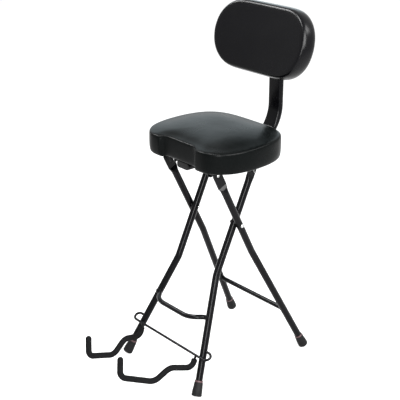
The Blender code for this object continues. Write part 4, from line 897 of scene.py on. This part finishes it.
def lobe(y, z, start, end, steps):
    """Points of a round lobe about a pin, between two angles in degrees."""
    turns = [math.radians(start + (end - start) * step / steps) for step in range(steps + 1)]
    return [(y + CHANNEL_LOBE * math.cos(turn), z + CHANNEL_LOBE * math.sin(turn)) for turn in turns]


def cut(obj, cutter):
    """Take a cutter's volume out of a piece."""
    difference = obj.modifiers.new("Cut", "BOOLEAN")
    difference.operation = "DIFFERENCE"
    difference.solver = "EXACT"
    difference.object = cutter
    bpy.context.view_layer.objects.active = obj
    bpy.ops.object.modifier_apply(modifier=difference.name)
    bpy.data.objects.remove(cutter)


def block(low, high):
    """A plain cutter between two corners."""
    x_low, y_low, z_low = low
    x_high, y_high, z_high = high
    around = ((x_low, y_low), (x_high, y_low), (x_high, y_high), (x_low, y_high))
    return slab("cutter", [Vector((x, y, z_low)) for x, y in around], Vector((0, 0, z_high - z_low)))


def at_pin(node, side, pin):
    """Where a pin across the stool meets the end of a CAD node that looks to one side."""
    return Vector((end_of(node, side).x, pin.y, pin.z))


def up_bolt(name, node, shank, head, height):
    """A domed bolt driven up from below, as long as a CAD node."""
    low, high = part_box(node)
    place = Vector(((low.x + high.x) / 2, (low.y + high.y) / 2, low.z + height))
    return domed_bolt(name, place, (0, 0, -1), shank, high.z - place.z, head, height)


channel_side = [(channel_rear, channel_top), (channel_front, channel_top)]
channel_side += lobe(seat_hinge.y, seat_hinge.z, 190, 285, 12)
channel_side += [(seat_hinge.y + LOBE_RUN, channel_bottom), (latch_pivot.y - LOBE_RUN, channel_bottom)]
channel_side += lobe(latch_pivot.y, latch_pivot.z, 215, 360, 16)
channel_side += [(channel_rear, channel_inner_bottom)]
cut_front = channel_front - CUT_PAST
cut_rear = channel_rear + CUT_PAST
for side, hand in sides:
    node = "seat_channel_" + hand
    low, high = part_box(node)
    outline = [Vector((low.x, y, z)) for y, z in channel_side]
    channel = slab("side_channel_" + hand, outline, Vector((high.x - low.x, 0, 0)))
    # the hollow between the flanges, then the lower edge of the inner flange, then the two eyes
    cut(channel, block((low.x + CHANNEL_WALL, cut_front, CUT_LOW),
                       (high.x - CHANNEL_WALL, cut_rear, channel_top - CHANNEL_WALL)))
    centre = (low.x + high.x) / 2
    near, far = sorted((centre, centre - side * CUT_PAST))
    cut(channel, block((near, cut_front, CUT_LOW), (far, cut_rear, channel_inner_bottom)))
    for pin in (seat_hinge, latch_pivot):
        eye = turned("eye", [(M6_CLEAR / 2, -0.01), (M6_CLEAR / 2, 0.01)], 32)
        cut(channel, stand(eye, at_pin(node, side, pin), (1, 0, 0)))
    eased(channel, 0.0006)
    dress(channel, powder_coat, "seat", "black_enamel", node)
    for place in ("front_", "rear_"):
        node = "channel_screw_" + place + hand
        screw = up_bolt("board_screw_" + place + hand, node, *CHANNEL_SCREW)
        dress(screw, zinc_plate, "seat", "zinc_steel", node)


# Seat hinge: an M6 bolt through each rear leg's flat end and the channel's front lobe, with a
# nylon spacer and a nut. The seat tips up about the pair.
HINGE_HEAD = (0.0105, 0.0035)
HINGE_NUT_HEIGHT = 0.005
for side, hand in sides:
    bolt = cross_bolt("seat_hinge_bolt_" + hand, "hinge_bolt_" + hand, side, M6, *HINGE_HEAD)
    dress(bolt, zinc_plate, "rear_frame", "zinc_steel", "hinge_bolt_" + hand)
    nut = cross_nut("seat_hinge_nut_" + hand, "hinge_nut_" + hand, side, HINGE_NUT_HEIGHT)
    dress(nut, zinc_plate, "rear_frame", "zinc_steel", "hinge_nut_" + hand)
    spacer = plain_ring("seat_hinge_spacer_" + hand, "hinge_spacer_" + hand, M6_CLEAR)
    dress(spacer, black_nylon, "rear_frame", "black_plastic", "hinge_spacer_" + hand)


# Latches: a turned housing riveted to each front leg's flat end, a sprung pin through it that
# stands in front of the channel's rear lobe, and a wire ring to pull it by.
LATCH_PIN = 0.006
LATCH_HEAD = 0.0075
LATCH_HEAD_LENGTH = 0.005
RING_EYE = 0.0012
RING_WIRE = 0.0015
for side, hand in sides:
    node = "latch_housing_" + hand
    low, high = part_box(node)
    length = length_of(node)
    outer = (high.z - low.z) / 2
    bore = M6_CLEAR / 2
    profile = [(bore, 0.0003), (bore + 0.0003, 0), (outer - 0.0003, 0), (outer, 0.0003)]
    profile += [(outer, 0.0022), (outer - 0.001, 0.003), (outer - 0.001, length - 0.0006)]
    profile += [(outer - 0.0016, length), (bore + 0.0003, length), (bore, length - 0.0003)]
    barrel = turned("latch_barrel_" + hand, profile, 48, closed=True)
    stand(barrel, at_pin(node, -side, latch_pivot), (side, 0, 0))
    dress(barrel, zinc_plate, "front_frame", "zinc_steel", node)

    node = "latch_pin_" + hand
    reach = length_of(node) - LATCH_HEAD_LENGTH
    shank = LATCH_PIN / 2
    knob = LATCH_HEAD / 2
    profile = [(shank - 0.0006, -reach), (shank, -reach + 0.0006), (shank, 0), (knob - 0.00035, 0)]
    profile += [(knob, 0.0004), (knob, 0.0042), (knob - 0.00045, LATCH_HEAD_LENGTH)]
    under_head = at_pin(node, side, latch_pivot) - Vector((side * LATCH_HEAD_LENGTH, 0, 0))
    pin = stand(turned("latch_plunger_" + hand, profile, 40), under_head, (side, 0, 0))
    eye = turned("eye", [(RING_EYE, -0.01), (RING_EYE, 0.01)], 24)
    cut(pin, stand(eye, under_head + Vector((side * LATCH_HEAD_LENGTH / 2, 0, 0)), (0, 1, 0)))
    close_up(pin, 35.0)
    dress(pin, zinc_plate, "latch_" + hand, "zinc_steel", node)

    node = "latch_ring_" + hand
    low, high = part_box(node)
    middle = (low + high) / 2
    radius = (high.z - low.z - RING_WIRE) / 2
    circle = []
    ring_steps = 40
    for step in range(ring_steps):
        angle = math.tau * step / ring_steps
        circle.append(middle + Vector((0, radius * math.sin(angle), radius * math.cos(angle))))
    pull = drawn_tube("latch_pull_ring_" + hand, circle, RING_WIRE, 4, closed=True)
    dress(pull, zinc_plate, "latch_" + hand, "zinc_steel", node)


# Back post: flat-sided steel tube, 52 by 21.5 mm with round corners, bent up behind the seat, with
# a crush dimple on the inside of its bend. It has the legs' satin black powder coat.
POST_WIDTH = 0.052
POST_DEPTH = 0.0215
POST_CORNER = 0.0088
POST_BEND_RADIUS = 0.1165
POST_FRONT = -0.125
POST_REAR = 0.256
POST_RISE = 0.336
POST_WALL = 0.002
PLUG_HOLE = 0.013
DIMPLE_DEPTH = 0.0017
DIMPLE_ANGLE = 52.0
DIMPLE_SPREAD = 3.4
post_z = seat_underside - GAP - POST_DEPTH / 2
post_front = POST_FRONT + crossing.y
post_rear = POST_REAR + crossing.y
post_top = seat_underside + POST_RISE

bpy.ops.object.select_all(action="DESELECT")
bpy.ops.mesh.primitive_plane_add(size=1, location=(0, post_front, post_z), rotation=(math.pi / 2, 0, 0))
post = bpy.context.object
post.name = "back_post_tube"
bpy.ops.object.transform_apply(location=True, rotation=True, scale=True)
bpy.ops.object.mode_set(mode="EDIT")
bpy.ops.transform.resize(value=(POST_WIDTH, 1, POST_DEPTH), center_override=(0, post_front, post_z))
bpy.ops.mesh.bevel(affect="VERTICES", offset=POST_CORNER, segments=6, profile=0.5)
bpy.ops.mesh.select_all(action="SELECT")
bend_start = post_rear - POST_BEND_RADIUS
bpy.ops.mesh.extrude_region_move(TRANSFORM_OT_translate={"value": (0, bend_start - post_front, 0)})
bend_centre = Vector((0, bend_start, post_z + POST_BEND_RADIUS))
turns = 48
place = Vector((0, bend_start, post_z))
for step in range(turns):
    angle = math.pi / 2 * (step + 1) / turns
    following = bend_centre + Vector((0, math.sin(angle), -math.cos(angle))) * POST_BEND_RADIUS
    bpy.ops.mesh.extrude_region_move(TRANSFORM_OT_translate={"value": following - place})
    place = following
    turn_ring(place, math.pi / 2 / turns, "X")
bpy.ops.mesh.extrude_region_move(TRANSFORM_OT_translate={"value": (0, 0, post_top - place.z)})
# both ends are hollow for a plug
bpy.ops.mesh.inset(thickness=POST_WALL)
bpy.ops.mesh.extrude_region_move(TRANSFORM_OT_translate={"value": (0, 0, -PLUG_HOLE)})
bpy.ops.mesh.select_all(action="DESELECT")
bpy.ops.object.mode_set(mode="OBJECT")
for vertex in post.data.vertices:
    vertex.select = abs(vertex.co.y - post_front) < 0.0001
bpy.ops.object.mode_set(mode="EDIT")
bpy.ops.mesh.inset(thickness=POST_WALL)
bpy.ops.mesh.extrude_region_move(TRANSFORM_OT_translate={"value": (0, PLUG_HOLE, 0)})
bpy.ops.object.mode_set(mode="OBJECT")
for vertex in post.data.vertices:
    out = vertex.co - bend_centre
    reach = math.hypot(out.y, out.z)
    turn = math.degrees(math.atan2(out.y, -out.z))
    if reach < POST_BEND_RADIUS - POST_DEPTH / 2 + 0.004:
        dent = DIMPLE_DEPTH * math.exp(-((turn - DIMPLE_ANGLE) / DIMPLE_SPREAD) ** 2)
        vertex.co += Vector((0, out.y, out.z)).normalized() * dent
close_up(post, 30.0)
dress(post, powder_coat, "seat", "black_enamel", "back_post")


# Post fittings: a moulded plug in each end of the post, and two M6 bolts up through the post into
# the seat board.
POST_BOLT = (M6, 0.013, 0.004)


def oblong(half_width, half_depth, corner, steps):
    """The outline of a rectangle with round corners, about its middle."""
    points = []
    for x_side, y_side, start in ((1, 1, 0), (-1, 1, 90), (-1, -1, 180), (1, -1, 270)):
        for step in range(steps + 1):
            angle = math.radians(start + 90 * step / steps)
            points.append((x_side * (half_width - corner) + corner * math.cos(angle),
                           y_side * (half_depth - corner) + corner * math.sin(angle)))
    return points


for node, end, way, across in (
    ("post_front_plug", Vector((0, post_front, post_z)), Vector((0, -1, 0)), Vector((0, 0, 1))),
    ("post_top_plug", Vector((0, post_rear, post_top)), Vector((0, 0, 1)), Vector((0, 1, 0))),
):
    rows = []
    for reach, shrink in ((-0.012, 0.0028), (-0.0115, 0.0023), (GAP, 0.0023), (GAP, 0.0),
                          (0.0016, 0.0), (0.0026, 0.0004), (0.0032, 0.0015), (0.0033, 0.0032)):
        section = oblong(POST_WIDTH / 2 - shrink, POST_DEPTH / 2 - shrink, POST_CORNER - shrink, 6)
        rows.append([end + way * reach + Vector((x, 0, 0)) + across * y for x, y in section])
    plug = skinned(node + "_cap", rows)
    dress(plug, black_nylon, "seat", "black_plastic", node)
for node in ("post_bolt_front", "post_bolt_rear"):
    bolt = up_bolt("board_" + node, node, *POST_BOLT)
    dress(bolt, zinc_plate, "seat", "zinc_steel", node)


# Backrest board: 9 mm plywood, steamed to the backrest's curve and painted black. It is the back
# of the pad, and the bracket is screwed to it.
RECLINE = math.radians(15.0)
BACK_HALF_WIDTH = 0.1920
BACK_HALF_HEIGHT = 0.1060
BACK_CORNER = 0.100
BACK_THICKNESS = 0.058
BACK_CURVE = 0.015
BACK_BOARD = 0.009
BACK_BOARD_INSET = 0.010
BACK_BEHIND = 0.1759
BACK_ABOVE = 0.3246
back_forward = Vector((0, -math.cos(RECLINE), math.sin(RECLINE)))
back_up = Vector((0, math.sin(RECLINE), math.cos(RECLINE)))
back_middle = Vector((0, BACK_BEHIND + crossing.y, seat_underside + BACK_ABOVE))


def back_ring(inset, spread, depth, steps):
    """The backrest's outline: drawn in, shrunk, set back, and bent forward at its ends."""
    half_width = BACK_HALF_WIDTH - inset
    half_height = BACK_HALF_HEIGHT - inset
    corner = BACK_CORNER - inset
    ring = oblong(half_width, half_height, corner, steps)
    # two more points on each long run, the lower run first because it comes later in the outline
    run = (half_width - corner) / 3
    for side, index in ((-1, 3 * (steps + 1)), (1, steps + 1)):
        ring[index:index] = [(side * run, side * half_height), (-side * run, side * half_height)]
    placed = []
    for x, y in ring:
        bend = BACK_CURVE * (x * spread / BACK_HALF_WIDTH) ** 2
        placed.append(back_middle + Vector((x * spread, 0, 0)) + back_up * (y * spread)
                      + back_forward * (bend - depth))
    return placed


spreads = (0.1, 0.25, 0.4, 0.55, 0.7, 0.85, 1.0)
board_front = BACK_THICKNESS - BACK_BOARD
board_rows = [back_ring(BACK_BOARD_INSET, spread, board_front, 12) for spread in spreads]
board_rows += [back_ring(BACK_BOARD_INSET, spread, BACK_THICKNESS, 12) for spread in spreads[::-1]]
back_board = eased(skinned("backrest_plywood", board_rows), 0.001)
dress(back_board, painted_ply, "seat", "painted_board", "backrest_board")


# Backrest pad: moulded foam on its board under black vinyl, a long oval, slightly crowned in
# front and curved forward at its ends. Its face is bare.
BACK_TUCK = 0.0125

# Satin leather-look vinyl: near black, with a deeper 2.2 mm pebble grain that spreads its
# highlight, and a slow 70 mm unevenness.
back_vinyl = vinyl("matte_black_vinyl", "#020203", 0.26, (0.3, 0.0003), (14.0, 0.2), (0.22, 0.30), 0.26)

# rows from the rear edge round the side to the middle of the face: the draw-in in tucks, the
# spread, and the depth in shares of the thickness
back_rows = []
for draw_in, spread, depth_share in (
    (1.76, 1.0, 1.0), (0.80, 1.0, 1.0), (0.25, 1.0, 0.96), (-0.10, 1.0, 0.74), (-0.14, 1.0, 0.50),
    (-0.04, 1.0, 0.26), (0.20, 1.0, 0.09), (0.62, 1.0, 0.012), (1.1, 0.97, -0.004), (1.2, 0.78, -0.015),
    (1.2, 0.40, -0.03),
):
    back_rows.append(back_ring(BACK_TUCK * draw_in, spread, BACK_THICKNESS * depth_share, 6))
backrest = padded_form("backrest_padding", back_rows)
dress(backrest, back_vinyl, "seat", "black_vinyl", "backrest_pad")


# Backrest bracket: a 3 mm steel plate screwed to the backrest board, with two cheeks welded to it
# that straddle the post and are riveted through it.
PLATE = 0.003
CHEEK = 0.0022
PLATE_HALF_WIDTH = 0.046
PLATE_HALF_HEIGHT = 0.040
PLATE_CORNER = 0.008
PLATE_DROP = 0.030
RIVET_HEAD = 0.003
RIVET_LIP = 0.0008
RIVET_RADIUS = 0.003
RIVET_HEAD_RADIUS = 0.006
BACK_SCREW = (0.004, PLATE + 0.0066, 0.009, 0.0025)
BACK_SCREW_X = 0.038
plate_middle = back_middle - back_forward * (BACK_THICKNESS + GAP) - back_up * PLATE_DROP
outline = []
for x, y in oblong(PLATE_HALF_WIDTH, PLATE_HALF_HEIGHT, PLATE_CORNER, 8):
    outline.append(plate_middle + Vector((x, 0, 0)) + back_up * y)
plate = eased(slab("plate", outline, -back_forward * PLATE), 0.0005)
lower = plate_middle - back_up * PLATE_HALF_HEIGHT - back_forward * (PLATE / 2)
upper = plate_middle + back_up * PLATE_HALF_HEIGHT - back_forward * (PLATE / 2)
cheek_rear = post_rear + POST_DEPTH / 2 - POST_CORNER
cheeks = []
for side in (-1, 1):
    inside = side * (POST_WIDTH / 2 + GAP)
    corners = ((lower.y, lower.z), (cheek_rear, lower.z), (cheek_rear, post_top), (upper.y, upper.z))
    outline = [Vector((inside, y, z)) for y, z in corners]
    cheeks.append(eased(slab("cheek", outline, Vector((side * CHEEK, 0, 0))), 0.0006))
bracket = joined("post_bracket", plate, *cheeks)
dress(bracket, powder_coat, "seat", "black_enamel", "backrest_bracket")
for node in ("backrest_rivet_lower", "backrest_rivet_upper"):
    shank_end = length_of(node) - RIVET_HEAD
    dome = []
    dome_steps = 6
    for step in range(dome_steps + 1):
        angle = math.radians(86.0) * step / dome_steps
        rise = RIVET_LIP + (RIVET_HEAD - RIVET_LIP) * math.sin(angle)
        dome.append((RIVET_HEAD_RADIUS * math.cos(angle), rise))
    profile = [(radius, RIVET_HEAD - height) for radius, height in dome[::-1]]
    profile += [(RIVET_HEAD_RADIUS - 0.0002, RIVET_HEAD), (RIVET_RADIUS, RIVET_HEAD)]
    profile += [(RIVET_RADIUS, shank_end), (RIVET_HEAD_RADIUS - 0.0002, shank_end)]
    profile += [(radius, shank_end + height) for radius, height in dome]
    rivet = stand(turned("steel_" + node, profile, 40), end_of(node, -1), (1, 0, 0))
    dress(rivet, zinc_plate, "seat", "zinc_steel", node)
for side, hand in sides:
    behind = plate_middle + Vector((side * BACK_SCREW_X, 0, 0)) - back_forward * (PLATE + GAP)
    screw = domed_bolt("board_fixing_" + hand, behind, -back_forward, *BACK_SCREW)
    dress(screw, zinc_plate, "seat", "zinc_steel", "backrest_screw_" + hand)


# The floor: a plain pale sheet, lit to white, which keeps the stool's soft shadow. It stands a hair
# below the boots.
FLOOR_SIZE = 16
FLOOR_DROP = 0.0002
FLOOR_WHITE_SHARE = 0.7


def seen_rays(owner):
    """One for a ray of the camera, of a mirroring surface or through glass, and nothing for others."""
    rays = add_node(owner, "LightPath")
    seen = add_node(owner, "Math", {"operation": "MAXIMUM"}, i0=rays.outputs["Is Camera Ray"],
                    i1=rays.outputs["Is Glossy Ray"])
    seen = add_node(owner, "Math", {"operation": "MAXIMUM"}, i0=seen.outputs["Value"],
                    i1=rays.outputs["Is Transmission Ray"])
    return seen.outputs["Value"]


bpy.ops.mesh.primitive_plane_add(size=FLOOR_SIZE, location=(0, 0, -FLOOR_DROP))
floor = bpy.context.object
floor.name = "floor"
paper = bpy.data.materials.new("white_paper_sweep")
paper.use_nodes = True
shader = paper.node_tree.nodes["Principled BSDF"]
fill(paper, shader, Base_Color=linear("#F7F7F7"), Roughness=0.9, Specular_IOR_Level=0.1)
faded = add_node(paper, "Math", {"operation": "MULTIPLY"}, i0=seen_rays(paper), i1=FLOOR_WHITE_SHARE)
white = add_node(paper, "Emission", Color=(1, 1, 1, 1), Strength=1.13)
mixed = add_node(paper, "MixShader", i0=faded.outputs["Value"], i1=shader.outputs["BSDF"],
                 i2=white.outputs["Emission"])
fill(paper, paper.node_tree.nodes["Material Output"], Surface=mixed.outputs["Shader"])
floor.data.materials.append(paper)


# Studio light: white paper all round, which the camera and the glossy surfaces see at full
# strength, and six soft boxes. A wide one on the right is the strongest.
world = bpy.data.worlds.new("studio")
bpy.context.scene.world = world
world.use_nodes = True
background = world.node_tree.nodes["Background"]
level = add_node(world, "MapRange", Value=seen_rays(world), To_Min=0.7, To_Max=1.0)
fill(world, background, Color=(1, 1, 1, 1), Strength=level.outputs["Result"])


def soft_box(name, place, aim, width, height, watts, colour=(1, 1, 1)):
    """A rectangular area lamp that faces a point."""
    lamp = bpy.data.lights.new(name, "AREA")
    lamp.shape = "RECTANGLE"
    lamp.size = width
    lamp.size_y = height
    lamp.energy = watts
    lamp.color = colour
    obj = bpy.data.objects.new(name, lamp)
    bpy.context.scene.collection.objects.link(obj)
    obj.location = place
    obj.rotation_euler = (Vector(aim) - Vector(place)).to_track_quat("-Z", "Y").to_euler()


soft_box("front_soft_box", (1.95, -2.0, 1.35), (0, 0, 0.6), 0.5, 1.2, 75)
soft_box("right_soft_box", (2.25, -0.05, 1.95), (0.1, 0.15, 0.95), 2.2, 1.5, 240)
soft_box("rear_right_soft_box", (1.45, 1.65, 2.3), (0.1, 0.1, 0.75), 0.8, 0.8, 36)
soft_box("top_front_soft_box", (-0.25, -0.55, 2.8), (0, 0, 0.5), 0.9, 0.5, 80)
soft_box("upper_left_soft_box", (-1.65, -0.45, 2.45), (0, 0, 0.75), 0.7, 0.7, 60)
soft_box("rear_left_soft_box", (-2.0, 1.6, 1.7), (0, 0, 0.75), 2.4, 1.4, 10, (0.68, 0.90, 1.0))


# The camera stands at the photograph's viewpoint, in front of the stool and to its right, and
# looks 22 degrees down at it.
camera_data = bpy.data.cameras.new("camera")
camera_data.sensor_width = 36.0
camera_data.lens = 87.43
camera = bpy.data.objects.new("camera", camera_data)
bpy.context.scene.collection.objects.link(camera)
camera.location = (2.0631, -1.7666, 1.6669)
camera.rotation_euler = (math.radians(90 - 22.231), 0, math.radians(48.954))
bpy.context.scene.camera = camera
bpy.context.scene.view_settings.view_transform = "Standard"
